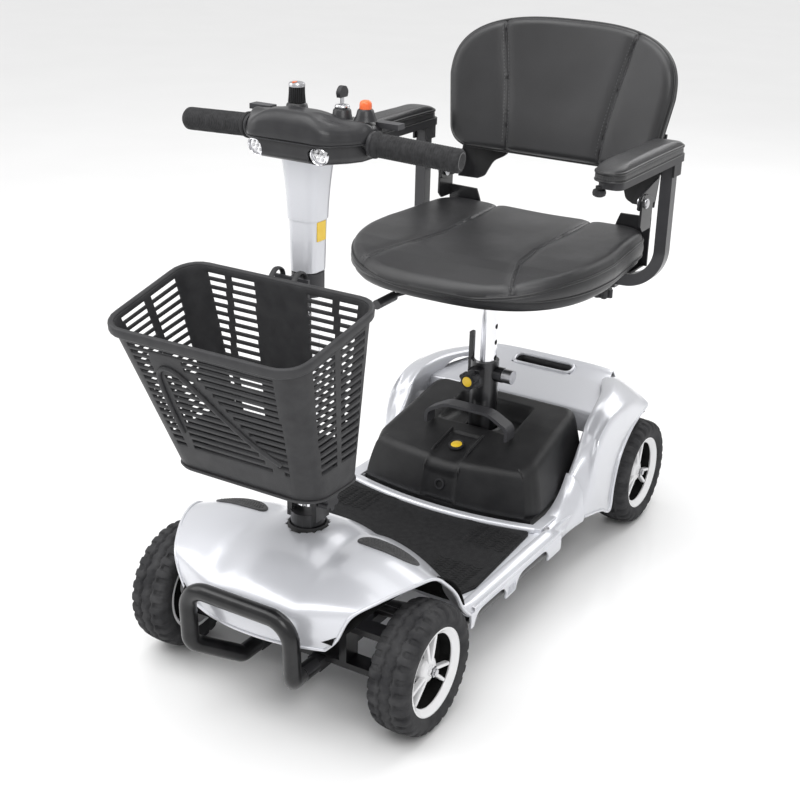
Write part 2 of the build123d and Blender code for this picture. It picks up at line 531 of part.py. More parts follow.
def armrest_pan(side):
    """The tray under an armrest pad, with cheeks and a pin on the post."""
    tray = plan_profile([(side * ARM_X - 20, 466), (side * ARM_X + 20, 466), (side * ARM_X + 20, 732),
                         (side * ARM_X - 20, 732)], ARM_PIVOT_Z + 12, ARM_PIVOT_Z + 24, 14)
    for offset in (-14.4, 10.4):
        x = side * ARM_X + offset
        tray += block((x, x + 4), (ARM_Y - 15, ARM_Y + 15), (ARM_PIVOT_Z - 12, ARM_PIVOT_Z + 14))
    pin = rod((side * ARM_X - 14, ARM_Y, ARM_PIVOT_Z), (side * ARM_X + 14, ARM_Y, ARM_PIVOT_Z), 5)
    return tray + pin


def armrest_pad(side):
    """A soft pad that tapers a little to the rear."""
    pad = plan_profile([(side * ARM_X - 23, 452), (side * ARM_X + 23, 452), (side * ARM_X + 22, 722),
                        (side * ARM_X - 22, 722)], ARM_PIVOT_Z + 24, ARM_PIVOT_Z + 52, 20.5)
    return fillet(pad.faces().sort_by(Axis.Z)[-1].edges(), 9)


for side, name in ((1, "left"), (-1, "right")):
    save(f"arm_tube_{name}", arm_tube(side))
    save(f"armrest_pan_{name}", armrest_pan(side))
    save(f"armrest_pad_{name}", armrest_pad(side))
    save(f"arm_knob_{name}", star_knob((side * 134, ARM_Y, 441), (0, 0, 1), 17, 14, 6, 5,
                                       RECEIVER_Z - 10 - 441 - PART_GAP))


# ---- tiller ----------------------------------------------------------------------------------------
post = rod((0, TILLER_Y, TILT_PIVOT_Z - 14), (0, TILLER_Y, 782), 15.8)
post -= rod((-40, TILLER_Y, TILT_PIVOT_Z), (40, TILLER_Y, TILT_PIVOT_Z), 5 + RUNNING_GAP)
save("tiller_post", post)
tilt_stem = rod((-24, TILLER_Y, TILT_PIVOT_Z), (26, TILLER_Y, TILT_PIVOT_Z), 5)
tilt_head = star_knob((27, TILLER_Y, TILT_PIVOT_Z), (-1, 0, 0), 16, 15, 6, 5, 4)
save("tilt_knob", tilt_stem + tilt_head)


def tiller_section(z, width, depth, radius):
    """One rounded section of the tiller cover."""
    return Plane.XY.offset(z) * Pos(0, TILLER_Y) * RectangleRounded(width, depth, radius)


upper_cover = loft([tiller_section(692, 46, 46, 14), tiller_section(740, 53, 52, 17), tiller_section(772, 62, 58, 20)])
lower_cover = loft([tiller_section(622, 40, 42, 14), tiller_section(692, 43, 43, 14)])
save("tiller_cover", upper_cover + lower_cover - Pos(0, TILLER_Y, 700) * Cylinder(15.8, 200))

HEAD_PLAN = [(-56, -26), (56, -26), (80, 6), (90, 32), (90, 66), (62, 96), (-62, 96), (-90, 66), (-90, 32),
             (-80, 6)]
HEAD_RADII = (16, 16, 20, 12, 20, 26, 26, 20, 12, 20)


def head_form(z_low, z_high, inset):
    """The control head's outline between two heights, shrunk by inset."""
    shrunk = [(x - math.copysign(inset, x), y + (inset if y < 30 else -inset)) for x, y in HEAD_PLAN]
    return plan_profile(shrunk, z_low, z_high, HEAD_RADII)


bar_points = [(-214, 49, HEAD_Z - 5), (-84, HANDLEBAR_Y, HEAD_Z + 3), (84, HANDLEBAR_Y, HEAD_Z + 3),
              (214, 49, HEAD_Z - 5)]
handlebar = pipe(bar_points, (60, 60), 11)
save("handlebar", handlebar)
bar_clearance = pipe(bar_points, (60, 60), 11.1)

lower = head_form(775, HEAD_Z + 3, 2)
lower = fillet(lower.faces().sort_by(Axis.Z)[0].edges(), 10) - head_form(779, HEAD_Z + 10, 6)
lower += Pos(0, TILLER_Y, 786) * Cylinder(24, 16)
for side in (-1, 1):
    lower += block(sorted((side * 60, side * 72)), (22, 46), (777, HEAD_Z - 2))
lower -= rod((0, TILLER_Y, 760), (0, TILLER_Y, 785), 15.9)
lower -= block((-30, 30), (0, 60), (787, 820)) & Pos(0, TILLER_Y, 800) * Cylinder(25, 26)
upper = fillet(head_form(HEAD_Z + 3, 834, 0).faces().sort_by(Axis.Z)[-1].edges(), 14)
upper -= head_form(HEAD_Z, 830, 5)
lamp_axis = Vector(0, -1, -0.28).normalized()
LAMPS = [Vector(side * 48, -12, 788) for side in (-1, 1)]
for lamp in LAMPS:
    hole = rod(lamp - lamp_axis * 12, lamp + lamp_axis * 30, 13.2)
    lower -= hole
    upper -= hole
for side in (-1, 1):
    upper -= block(sorted((side * 56, side * 130)), (43, 90), (HEAD_Z + 10, HEAD_Z + 28))
lower -= bar_clearance
upper -= bar_clearance
DIAL = (-30, 46)
KEY = (40, 46)
HORN = (74, 48)
upper -= Pos(*DIAL, 834) * Cylinder(5 + RUNNING_GAP, 20)
upper -= Pos(*KEY, 834) * Cylinder(4 + RUNNING_GAP, 20)
upper += Pos(*HORN, 838) * Cylinder(12, 12)
upper -= Pos(*HORN, 838) * Cylinder(8 + RUNNING_GAP, 14)
THROTTLE_PIVOT = (0, 66)
upper += Pos(*THROTTLE_PIVOT, 827) * Cylinder(4, 14)
save("head_lower", lower)
save("head_upper", upper.solids().sort_by(SortBy.VOLUME)[-1])

lamps = [rod(lamp - lamp_axis * 11, lamp + lamp_axis * 6, 13) for lamp in LAMPS]
save("headlights", *lamps)
dial = Pos(*DIAL, 847.4) * Cylinder(11, 24) + Pos(*DIAL, 832) * Cylinder(5, 12)
save("speed_dial", dial + Pos(DIAL[0], DIAL[1] - 5, 860) * Box(2.4, 9, 2))
key = Pos(*KEY, 833) * Cylinder(4, 14) + Pos(*KEY, 838.5) * Cylinder(9, 4)
save("ignition_key", key + Pos(*KEY, 852) * Box(3, 18, 24))
save("horn_button", Pos(*HORN, 844) * Cylinder(8, 12))
throttle = block((-91, 91), (60, 72), (HEAD_Z + 12, HEAD_Z + 18))
throttle += Pos(*THROTTLE_PIVOT, HEAD_Z + 15) * Cylinder(9, 6)
for side in (-1, 1):
    throttle += block(sorted((side * 83, side * 116)), (58, 74), (HEAD_Z + 18, HEAD_Z + 25))
throttle -= Pos(*THROTTLE_PIVOT, HEAD_Z + 15) * Cylinder(4 + RUNNING_GAP, 20)
save("throttle_lever", throttle)

for side, name in ((1, "left"), (-1, "right")):
    inner_end, outer_end = Vector(side * 96, 35.4, HEAD_Z + 2.2), Vector(side * GRIP_END_X, 50.4, HEAD_Z - 5.8)
    sleeve = fillet(rod(inner_end, outer_end, 15.5).edges(), 5)
    save(f"grip_{name}", (sleeve - pipe(bar_points, (60, 60), 11.0)).solids().sort_by(SortBy.VOLUME)[-1])


# ---- basket ----------------------------------------------------------------------------------------
bracket = Pos(0, TILLER_Y, 604) * (Cylinder(22, 32) - Cylinder(15.8, 32))
bracket += block((-8, 8), (-6, 8), (590, 618)) + block((-27, 27), (-10, -6), (586, 620))
save("basket_bracket", bracket)


def basket_form(inset):
    """The basket's tapered outer form, shrunk by inset."""
    sections = []
    for z, half_width, front, back in ((BASKET_FLOOR_Z + inset, 117, -124, -8), (640, 157, -236, -34)):
        outline = Pos(0, (front + back) / 2) * RectangleRounded(2 * (half_width - inset), back - front - 2 * inset,
                                                               34 - inset)
        sections.append(Plane.XY.offset(z) * outline)
    return loft(sections)


def basket():
    """A slatted plastic basket with a sloping rim and two hooks at its back."""
    above_rim = side_profile([(-260, 571), (-30, 623), (60, 643), (60, 800), (-260, 800)], -200, 200)
    walls = basket_form(0) - basket_form(3.5)
    slots = None
    for i in range(15):
        z = 402 + 11.0 * i
        row = block((32, 98 + i), (-260, 60), (z, z + 5.5))
        row += block((-98 - i, -32), (-260, 60), (z, z + 5.5))
        row += block((-200, 200), (-104 - 3 * i, -44 - i), (z, z + 5.5))
        slots = row if slots is None else slots + row
    body = (walls - slots) - above_rim
    rim_outer = basket_form(-2.5) & side_profile([(-260, 562), (60, 634), (60, 643), (-260, 571)], -200, 200)
    body += rim_outer - basket_form(3.5)
    for side in (-1, 1):
        x_range = sorted((side * 12, side * 24))
        body += block(x_range, (-36, -1.5), (622, 626)) + block(x_range, (-5.5, -1.5), (606, 626))
    return body.solids().sort_by(SortBy.VOLUME)[-1]


save("basket", basket())
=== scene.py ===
"""Looks of the four-wheel travel scooter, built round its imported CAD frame.

Sizes are in millimetres in the drawing's frame, where y is measured from the front axle; at() turns a
point into Blender's metres. +Z is up, the front of the scooter faces -Y and +X is the rider's left.
"""
import bpy
import bmesh
import math
from math import atan2, copysign, cos, exp, hypot, pi, radians, sin
import numpy as np
from mathutils import Matrix, Vector
from mathutils.bvhtree import BVHTree


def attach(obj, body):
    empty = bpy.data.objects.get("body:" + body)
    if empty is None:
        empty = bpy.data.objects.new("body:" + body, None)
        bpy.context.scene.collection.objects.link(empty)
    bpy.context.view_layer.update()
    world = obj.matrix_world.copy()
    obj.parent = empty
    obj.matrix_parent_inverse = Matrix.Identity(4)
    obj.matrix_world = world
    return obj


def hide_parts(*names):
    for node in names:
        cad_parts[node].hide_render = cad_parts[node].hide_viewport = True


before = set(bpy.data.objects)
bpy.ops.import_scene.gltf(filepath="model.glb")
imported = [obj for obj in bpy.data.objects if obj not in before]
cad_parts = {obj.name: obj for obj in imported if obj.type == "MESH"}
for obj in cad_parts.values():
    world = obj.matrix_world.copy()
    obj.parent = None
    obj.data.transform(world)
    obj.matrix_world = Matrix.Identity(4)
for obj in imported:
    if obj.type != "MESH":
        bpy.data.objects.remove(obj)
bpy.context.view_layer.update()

SHIFT_Y = -323.0
WHEEL_R = 95.0
WHEELBASE = 765.0
FRONT_WHEEL_X, REAR_WHEEL_X = 207.0, 189.0
HINGE_Y, HINGE_Z = 716, 598
POST_Y = 546
ARM_X = 231.0
SIDES = (("left", 1), ("right", -1))


def at(x, y, z):
    """A drawing point in metres, in the row frame."""
    return Vector((x * 0.001, (y + SHIFT_Y) * 0.001, z * 0.001))


# ---- camera and light ------------------------------------------------------------------------------
YAW, PITCH, ROLL = (radians(a) for a in (31.2, 22.42, 1.51))
forward = Vector((-sin(YAW) * cos(PITCH), cos(YAW) * cos(PITCH), -sin(PITCH)))
right = Vector((cos(YAW), sin(YAW), 0))
above = right.cross(forward)
cam_x = right * cos(ROLL) + above * sin(ROLL)
cam_y = above * cos(ROLL) - right * sin(ROLL)
camera = bpy.data.objects.new("Camera", bpy.data.cameras.new("Camera"))
bpy.context.scene.collection.objects.link(camera)
turned = Matrix((cam_x, cam_y, -forward)).transposed().to_4x4()
camera.matrix_world = Matrix.Translation(at(1038.59, -1443.2, 1178.7)) @ turned
camera.data.lens = 63.7
camera.data.sensor_width = 36
bpy.context.scene.camera = camera


def area_light(name, place, target, size, power):
    """A soft square light that faces a target."""
    data = bpy.data.lights.new(name, "AREA")
    data.energy = power
    data.size = size
    light = bpy.data.objects.new(name, data)
    light.location = place
    light.rotation_euler = (Vector(target) - Vector(place)).to_track_quat("-Z", "Y").to_euler()
    bpy.context.scene.collection.objects.link(light)


area_light("Key", (1.6, -1.8, 2.6), (0, 0, 0.4), 1.4, 30)
area_light("Fill", (-2.2, -1.2, 1.8), (0, 0, 0.4), 1.8, 20)
area_light("Back", (0.4, 2.4, 2.4), (0, 0, 0.5), 2.0, 30)
area_light("Top", (0, 0, 3.2), (0, 0, 0), 2.0, 14)

sky = bpy.data.lights.new("Sky", "SUN")
sky.energy = 1.5
sky.angle = radians(50)
sky_light = bpy.data.objects.new("Sky", sky)
sky_light.rotation_euler = (radians(18), radians(-14), 0)
bpy.context.scene.collection.objects.link(sky_light)

world = bpy.data.worlds.new("World")
bpy.context.scene.world = world
world.use_nodes = True
world.node_tree.nodes["Background"].inputs[0].default_value = (1, 1, 1, 1)
world.node_tree.nodes["Background"].inputs[1].default_value = 0.62
bpy.context.scene.view_settings.view_transform = "Standard"


# ---- materials -------------------------------------------------------------------------------------
def grey(level, blue=0.001):
    """A grey with a trace more blue."""
    return (level, level, level + blue)


def material(name, base, rough, metal=0.0, coat=0.0, coat_rough=0.1, spec=0.5, grain=None, mottle=None,
        rough_var=0.06, wear=None):
    """A procedural surface: base colour with mottling, varied roughness, and bump layers.

    grain is a list of (kind, scale, strength, distance) bumps; mottle is (scale, second colour) with, if
    wanted, the noise values between which one colour turns into the other; wear is (low, high, colour) for
    edges, by pointiness.
    """
    m = bpy.data.materials.new(name)
    m.use_nodes = True
    nodes, links = m.node_tree.nodes, m.node_tree.links
    shader = nodes["Principled BSDF"]
    shader.inputs["Base Color"].default_value = (*base, 1)
    shader.inputs["Roughness"].default_value = rough
    shader.inputs["Metallic"].default_value = metal
    shader.inputs["Coat Weight"].default_value = coat
    shader.inputs["Coat Roughness"].default_value = coat_rough
    shader.inputs["Specular IOR Level"].default_value = spec
    place = nodes.new("ShaderNodeTexCoord").outputs["Object"]

    def noise(scale, detail=4.0):
        """A noise texture over the object's own coordinates."""
        node = nodes.new("ShaderNodeTexNoise")
        node.inputs["Scale"].default_value = scale
        node.inputs["Detail"].default_value = detail
        links.new(place, node.inputs["Vector"])
        return node.outputs["Fac"]

    def ramp(value, stops):
        """A colour ramp with (position, colour) stops."""
        node = nodes.new("ShaderNodeValToRGB")
        for element, (position, colour) in zip(node.color_ramp.elements, stops):
            element.position, element.color = position, (*colour, 1)
        links.new(value, node.inputs["Fac"])
        return node.outputs["Color"]

    colour = None
    if mottle:
        scale, second, low, high = (*mottle, 0.3, 0.7)[:4]
        colour = ramp(noise(scale), [(low, base), (high, second)])
    if wear:
        edge = nodes.new("ShaderNodeNewGeometry").outputs["Pointiness"]
        blend = ramp(edge, [(wear[0], (0, 0, 0)), (wear[1], (1, 1, 1))])
        mix = nodes.new("ShaderNodeMix")
        mix.data_type = "RGBA"
        links.new(blend, mix.inputs["Factor"])
        if colour:
            links.new(colour, mix.inputs["A"])
        else:
            mix.inputs["A"].default_value = (*base, 1)
        mix.inputs["B"].default_value = (*wear[2], 1)
        colour = mix.outputs["Result"]
    if colour:
        links.new(colour, shader.inputs["Base Color"])
    if rough_var:
        spread = nodes.new("ShaderNodeMapRange")
        spread.inputs["To Min"].default_value = max(0.02, rough - rough_var)
        spread.inputs["To Max"].default_value = min(1.0, rough + rough_var)
        links.new(noise(35.0, 6.0), spread.inputs["Value"])
        links.new(spread.outputs["Result"], shader.inputs["Roughness"])
    normal = None
    for kind, scale, strength, distance in grain or ():
        if kind == "voronoi":
            texture = nodes.new("ShaderNodeTexVoronoi")
            texture.feature = "DISTANCE_TO_EDGE"
            texture.inputs["Scale"].default_value = scale
            links.new(place, texture.inputs["Vector"])
            height = ramp(texture.outputs["Distance"], [(0.0, (0, 0, 0)), (0.12, (1, 1, 1))])
        else:
            height = noise(scale, 3.0)
        bump = nodes.new("ShaderNodeBump")
        bump.inputs["Strength"].default_value = strength
        bump.inputs["Distance"].default_value = distance
        links.new(height, bump.inputs["Height"])
        if normal:
            links.new(normal, bump.inputs["Normal"])
        normal = bump.outputs["Normal"]
    if normal:
        links.new(normal, shader.inputs["Normal"])
    return m


SILVER = material("silver_panel", (0.66, 0.67, 0.71), 0.3, metal=0.3, coat=0.8, coat_rough=0.05,
    mottle=(2600.0, (0.70, 0.71, 0.75), 0.35, 0.7), rough_var=0.02, grain=[("noise", 3000.0, 0.03, 0.0001)])
BLACK_PLASTIC = material("black_moulding", grey(0.010), 0.42, spec=0.3, mottle=(60.0, grey(0.016)),
    grain=[("noise", 1400.0, 0.25, 0.0003)], wear=(0.52, 0.66, grey(0.06, 0.005)))
HEAD_PLASTIC = material("head_moulding", grey(0.02, 0.002), 0.34, spec=0.4, mottle=(40.0, grey(0.032, 0.002)),
    grain=[("noise", 1600.0, 0.12, 0.0002)])
BOX_PLASTIC = material("battery_moulding", grey(0.011), 0.42, spec=0.32, mottle=(30.0, grey(0.02)),
    grain=[("voronoi", 700.0, 0.18, 0.0002), ("noise", 1800.0, 0.15, 0.0002)])
BASKET_PLASTIC = material("basket_moulding", grey(0.024, 0.002), 0.5, spec=0.28,
    mottle=(50.0, grey(0.038, 0.002)), grain=[("noise", 1500.0, 0.25, 0.0003)],
    wear=(0.52, 0.68, grey(0.07, 0.003)))
VINYL = material("seat_vinyl", grey(0.022), 0.34, spec=0.5, mottle=(16.0, grey(0.028, 0.002), 0.3, 0.75),
    grain=[("voronoi", 520.0, 0.22, 0.0004), ("noise", 9.0, 0.25, 0.003), ("noise", 900.0, 0.12, 0.0002)])
PIPING = material("seat_piping", grey(0.012), 0.38, mottle=(90.0, grey(0.018)),
    grain=[("noise", 1100.0, 0.2, 0.0002)])
THREAD = material("seam_thread", grey(0.075, 0.003), 0.7, mottle=(900.0, grey(0.11, 0.005)),
    grain=[("noise", 3000.0, 0.5, 0.0002)])
TYRE = material("tyre_grey", grey(0.026, 0.002), 0.72, spec=0.15, mottle=(45.0, grey(0.06, 0.002), 0.3, 0.75),
    grain=[("noise", 1200.0, 0.35, 0.0003), ("noise", 160.0, 0.12, 0.0006)])
WHITE = material("rim_enamel", grey(0.82, 0.01), 0.3, coat=0.5, mottle=(25.0, grey(0.86, 0.01)),
    grain=[("noise", 700.0, 0.04, 0.0003)])
# Painted shade: a near-black, almost unshiny surface used for the wheel dishes and wheel wells, where only
# shade is seen.
SHADE_BLACK = material("wheel_well_black", grey(0.004, 0), 0.9, spec=0.08, mottle=(60.0, grey(0.012, 0)),
    grain=[("noise", 600.0, 0.3, 0.0004)])
FRAME_BLACK = material("frame_enamel", grey(0.006), 0.3, spec=0.3, coat=0.25, coat_rough=0.12,
    mottle=(45.0, grey(0.014), 0.35, 0.7), grain=[("noise", 380.0, 0.08, 0.0004)],
    wear=(0.53, 0.68, grey(0.07, 0.005)))
CHROME = material("chrome_plate", grey(0.78, 0.02), 0.1, metal=1.0, rough_var=0.04,
    mottle=(30.0, grey(0.84, 0.02)), grain=[("noise", 260.0, 0.03, 0.0002)])
STEEL = material("bright_steel", grey(0.5, 0.02), 0.32, metal=1.0, mottle=(120.0, grey(0.62, 0.02)),
    grain=[("noise", 900.0, 0.12, 0.0002)])
CAST = material("cast_alloy", grey(0.3, 0.01), 0.5, metal=0.8, mottle=(80.0, grey(0.4, 0.01)),
    grain=[("noise", 420.0, 0.4, 0.0006)])
GRIP = material("grip_foam", grey(0.02), 0.66, spec=0.2, mottle=(200.0, grey(0.038, 0.002)),
    grain=[("noise", 1700.0, 0.4, 0.0004), ("voronoi", 1200.0, 0.15, 0.0002)])
MAT = material("mat_rubber", grey(0.012), 0.66, spec=0.18, mottle=(120.0, grey(0.022)),
    grain=[("voronoi", 900.0, 0.35, 0.0004), ("noise", 1500.0, 0.3, 0.0003)])
PAD_RUBBER = material("toe_pad_rubber", grey(0.05, 0.002), 0.55, mottle=(140.0, grey(0.07, 0.002)),
    grain=[("noise", 1300.0, 0.3, 0.0003)])
YELLOW = material("yellow_cap", (0.85, 0.55, 0.02), 0.35, coat=0.3, mottle=(60.0, (0.9, 0.62, 0.05)),
    grain=[("noise", 900.0, 0.06, 0.0002)])
ORANGE = material("orange_button", (0.85, 0.13, 0.03), 0.35, coat=0.3, mottle=(60.0, (0.9, 0.2, 0.05)),
    grain=[("noise", 900.0, 0.06, 0.0002)])


# ---- mesh helpers ----------------------------------------------------------------------------------
def mesh_piece(name, verts, faces, mat, body, slot=None, angle=40.0):
    """A piece from drawing points and faces, which rides on a body."""
    data = bpy.data.meshes.new(name)
    data.from_pydata([at(*v) for v in verts], [], faces)
    return dress(data, name, mat, body, angle)


def panel_piece(name, part, angle=40.0):
    """A silver panel of the chassis."""
    return mesh_piece(name, *part, SILVER, "chassis", angle=angle)


def black_piece(name, part, body, angle=40.0):
    """A piece moulded in black plastic."""
    return mesh_piece(name, *part, BLACK_PLASTIC, body, angle=angle)


def dress(data, name, mat, body, angle=40.0):
    """Links mesh data as a piece, gives it consistent normals, its material and body."""
    bm = bmesh.new()
    bm.from_mesh(data)
    bmesh.ops.remove_doubles(bm, verts=bm.verts, dist=0.00002)
    bmesh.ops.recalc_face_normals(bm, faces=bm.faces)
    bm.to_mesh(data)
    bm.free()
    piece = bpy.data.objects.new(name, data)
    bpy.context.scene.collection.objects.link(piece)
    data.materials.append(mat)
    data.shade_smooth()
    data.set_sharp_from_angle(angle=radians(angle))
    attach(piece, body)
    return piece


def grid_faces(rows, columns, close_rows=False, close_columns=False):
    """Quads over a rows by columns grid of points."""
    faces = []
    for i in range(rows if close_rows else rows - 1):
        for j in range(columns if close_columns else columns - 1):
            a, b = i * columns + j, i * columns + (j + 1) % columns
            c, d = ((i + 1) % rows) * columns + (j + 1) % columns, ((i + 1) % rows) * columns + j
            faces.append((a, b, c, d))
    return faces


def basis(direction):
    """Two unit vectors square to a direction."""
    d = Vector(direction).normalized()
    side = d.cross(Vector((0, 0, 1)) if abs(d.z) < 0.9 else Vector((0, 1, 0))).normalized()
    return side, side.cross(d)


def lathe(origin, direction, profile, steps=64, closed=False):
    """Verts and faces of a profile of (radius, height) turned about a line."""
    o, d = Vector(origin), Vector(direction).normalized()
    side, up = basis(d)
    verts = []
    for r, h in profile:
        for k in range(steps):
            a = 2 * pi * k / steps
            verts.append(o + d * h + (side * cos(a) + up * sin(a)) * r)
    return verts, grid_faces(len(profile), steps, close_rows=closed, close_columns=True)


def catmull(points, per):
    """A smooth run through points, with per steps between each two."""
    pts = [np.array(p, float) for p in points]
    pts = [2 * pts[0] - pts[1]] + pts + [2 * pts[-1] - pts[-2]]
    out = []
    for i in range(1, len(pts) - 2):
        p0, p1, p2, p3 = pts[i - 1:i + 3]
        for k in range(per):
            t = k / per
            out.append(0.5 * (2 * p1 + (p2 - p0) * t + (2 * p0 - 5 * p1 + 4 * p2 - p3) * t * t
                + (3 * p1 - p0 - 3 * p2 + p3) * t ** 3))
    out.append(pts[-2])
    return out


def sweep(points, radius, steps=12, closed=False, flat=1.0, caps=True):
    """Verts and faces of a tube along points; flat under 1 presses it towards its path's side."""
    pts = [Vector(p) for p in points]
    n = len(pts)
    verts, normal = [], None
    for i, p in enumerate(pts):
        ahead = pts[(i + 1) % n] if closed or i < n - 1 else p
        behind = pts[i - 1] if closed or i > 0 else p
        d = (ahead - behind).normalized()
        if normal is None:
            normal, _ = basis(d)
        normal = (normal - d * normal.dot(d)).normalized()
        other = d.cross(normal)
        r = radius[i] if isinstance(radius, (list, tuple)) else radius
        for k in range(steps):
            a = 2 * pi * k / steps
            verts.append(p + normal * cos(a) * r + other * sin(a) * r * flat)
    faces = grid_faces(n, steps, close_rows=closed, close_columns=True)
    if caps and not closed:
        faces += [tuple(range(steps))[::-1], tuple(range((n - 1) * steps, n * steps))]
    return verts, faces


def joined(*parts):
    """Several (verts, faces) lists as one."""
    verts, faces = [], []
    for v, f in parts:
        faces += [tuple(i + len(verts) for i in face) for face in f]
        verts += list(v)
    return verts, faces


def bar(corner_a, corner_b, cut=1.0):
    """A chamfered bar between two corners."""
    lo = [min(a, b) for a, b in zip(corner_a, corner_b)]
    hi = [max(a, b) for a, b in zip(corner_a, corner_b)]
    verts = []
    for z, inset in ((lo[2], cut), (lo[2] + cut, 0), (hi[2] - cut, 0), (hi[2], cut)):
        x0, x1, y0, y1 = lo[0] + inset, hi[0] - inset, lo[1] + inset, hi[1] - inset
        c = cut
        verts += [(x0 + c, y0, z), (x1 - c, y0, z), (x1, y0 + c, z), (x1, y1 - c, z), (x1 - c, y1, z),
            (x0 + c, y1, z), (x0, y1 - c, z), (x0, y0 + c, z)]
    return verts, grid_faces(4, 8, close_columns=True) + [tuple(range(8))[::-1], tuple(range(24, 32))]


def moved(part, matrix):
    """Verts and faces after a matrix."""
    verts, faces = part
    return [matrix @ Vector(v) for v in verts], faces


def ease(piece, width, segments=2, limit=30):
    """Eases the edges sharper than a limit in degrees, by a width in millimetres."""
    mod = piece.modifiers.new("Ease", "BEVEL")
    mod.width, mod.segments, mod.limit_method = width * 0.001, segments, "ANGLE"
    mod.angle_limit = radians(limit)


def solidify(piece, thickness, bevel=0.0, offset=-1.0):
    """Gives a sheet piece its wall, in millimetres, with an eased edge."""
    mod = piece.modifiers.new("Wall", "SOLIDIFY")
    mod.thickness = thickness * 0.001
    mod.offset = offset
    mod.use_even_offset = False
    if bevel:
        ease(piece, bevel, limit=50)


def skin(node, mat, bevel=0.0, segments=2):
    """Gives a carried-over CAD node its material, and eases its edges."""
    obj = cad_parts[node]
    for slot in obj.material_slots:
        slot.material = mat
    if bevel:
        ease(obj, bevel, segments, 35)


# ---- floor -----------------------------------------------------------------------------------------
floor_mesh = bpy.data.meshes.new("floor")
floor_mesh.from_pydata([(-60, -60, 0), (60, -60, 0), (60, 60, 0), (-60, 60, 0)], [], [(0, 1, 2, 3)])
floor = bpy.data.objects.new("floor", floor_mesh)
bpy.context.scene.collection.objects.link(floor)
floor_mesh.materials.append(material("studio_floor", (0.86, 0.86, 0.86), 0.45, coat=0.35, coat_rough=0.05,
    mottle=(3.0, (0.88, 0.88, 0.88), 0.3, 0.7)))


# ---- wheels ----------------------------------------------------------------------------------------
TYRE_PROFILE = catmull([(-27, 64), (-31, 70), (-32.2, 77), (-31, 85), (-26, 91.3), (-14, 94.1), (0, 94.8),
    (14, 94.1), (26, 91.3), (31, 85), (32.2, 77), (31, 70), (27, 64)], 6)


def tyre(name, node, body, x, y):
    """A solid tyre whose tread has two zigzag grooves and open shoulder blocks."""
    verts, steps, lugs = [], 360, 30
    for k in range(steps):
        turn = 2 * pi * k / steps
        phase = (k * lugs / steps) % 1.0
        zigzag = 4.0 * (abs(2 * phase - 1) - 0.5)
        for px, pr in TYRE_PROFILE:
            depth = 0.0
            for line in (-8, 8):
                depth = max(depth, 3.2 * exp(-((px - line - zigzag) / 2.0) ** 4))
            if abs(px) > 15 and pr > 79:
                side_phase = (phase + (0.5 if px > 0 else 0.0)) % 1.0
                depth = max(depth, 3.4 * exp(-((side_phase - 0.5) / 0.23) ** 10) * min(1, (pr - 79) / 4))
            r = pr - depth
            verts.append((x + px, y + r * sin(turn), WHEEL_R + r * cos(turn)))
    piece = mesh_piece(name, verts, grid_faces(steps, len(TYRE_PROFILE), close_rows=True, close_columns=True),
        TYRE, body, angle=50)
    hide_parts(node)


def wheel(name, node, body, x, y, out):
    """A rim with a bright ring, a dark dish of painted shade, three pairs of thin spokes and a hub with its
    nut.
    """
    centre, axis = (x, y, WHEEL_R), (out, 0, 0)
    ring = lathe(centre, axis, [(65.8, -27), (65.8, 25), (65.0, 27.5), (62.5, 28), (60.5, 26.5), (57, 22.5),
        (54.5, 21), (54, 19.5), (58, 17), (60, -27), (63, -28)], 96, closed=True)
    parts = [ring]
    for i in range(3):
        for side in (-1, 1):
            angle = radians(120 * i + side * 13)
            turned = Matrix.Rotation(angle, 4, "X")
            spoke = bar((-4.5, -2.6, 14), (4.5, 2.6, 54), 1.2)
            parts.append(moved(spoke, Matrix.Translation((x + out * 15, y, WHEEL_R)) @ turned))
    parts.append(lathe(centre, axis, [(0, 23), (7, 23), (8, 22), (8, 18), (15, 17.5), (18, 16), (20, 12),
        (20, -18), (0, -18)], 48))
    verts, faces = joined(*parts)
    rim = mesh_piece(name, verts, faces, WHITE, body)
    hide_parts(node)
    # The dish is painted shade: a near-black sheet filling the gap behind the spokes.
    dish = lathe(centre, axis, [(57.5, 16.5), (55.5, 17), (52, 2), (40, -2), (20.5, -3), (20, -6), (52, -8),
        (57.5, 0)], 64, closed=True)
    mesh_piece(name + "_dish", *dish, SHADE_BLACK, body)
    nut = lathe(centre, axis, [(0, 28.5), (4.5, 28.5), (5, 28), (5, 23.2), (0, 23.2)], 24)
    hexagon = lathe(centre, axis, [(0, 26), (7.2, 26), (8, 25.2), (8, 22.6), (0, 22.6)], 6)
    mesh_piece(name + "_nut", *joined(nut, hexagon), STEEL, body, angle=30)


for side_name, side in SIDES:
    for end, wheel_x, wheel_y in (("front", FRONT_WHEEL_X, 0.0), ("rear", REAR_WHEEL_X, WHEELBASE)):
        body_name = f"{end}_wheel_{side_name}"
        tyre(f"{end}_tyre_{side_name}_tread", f"{end}_tyre_{side_name}", body_name, side * wheel_x, wheel_y)
        wheel(f"{end}_wheel_{side_name}_rim", f"{end}_rim_{side_name}", body_name, side * wheel_x, wheel_y,
            side)


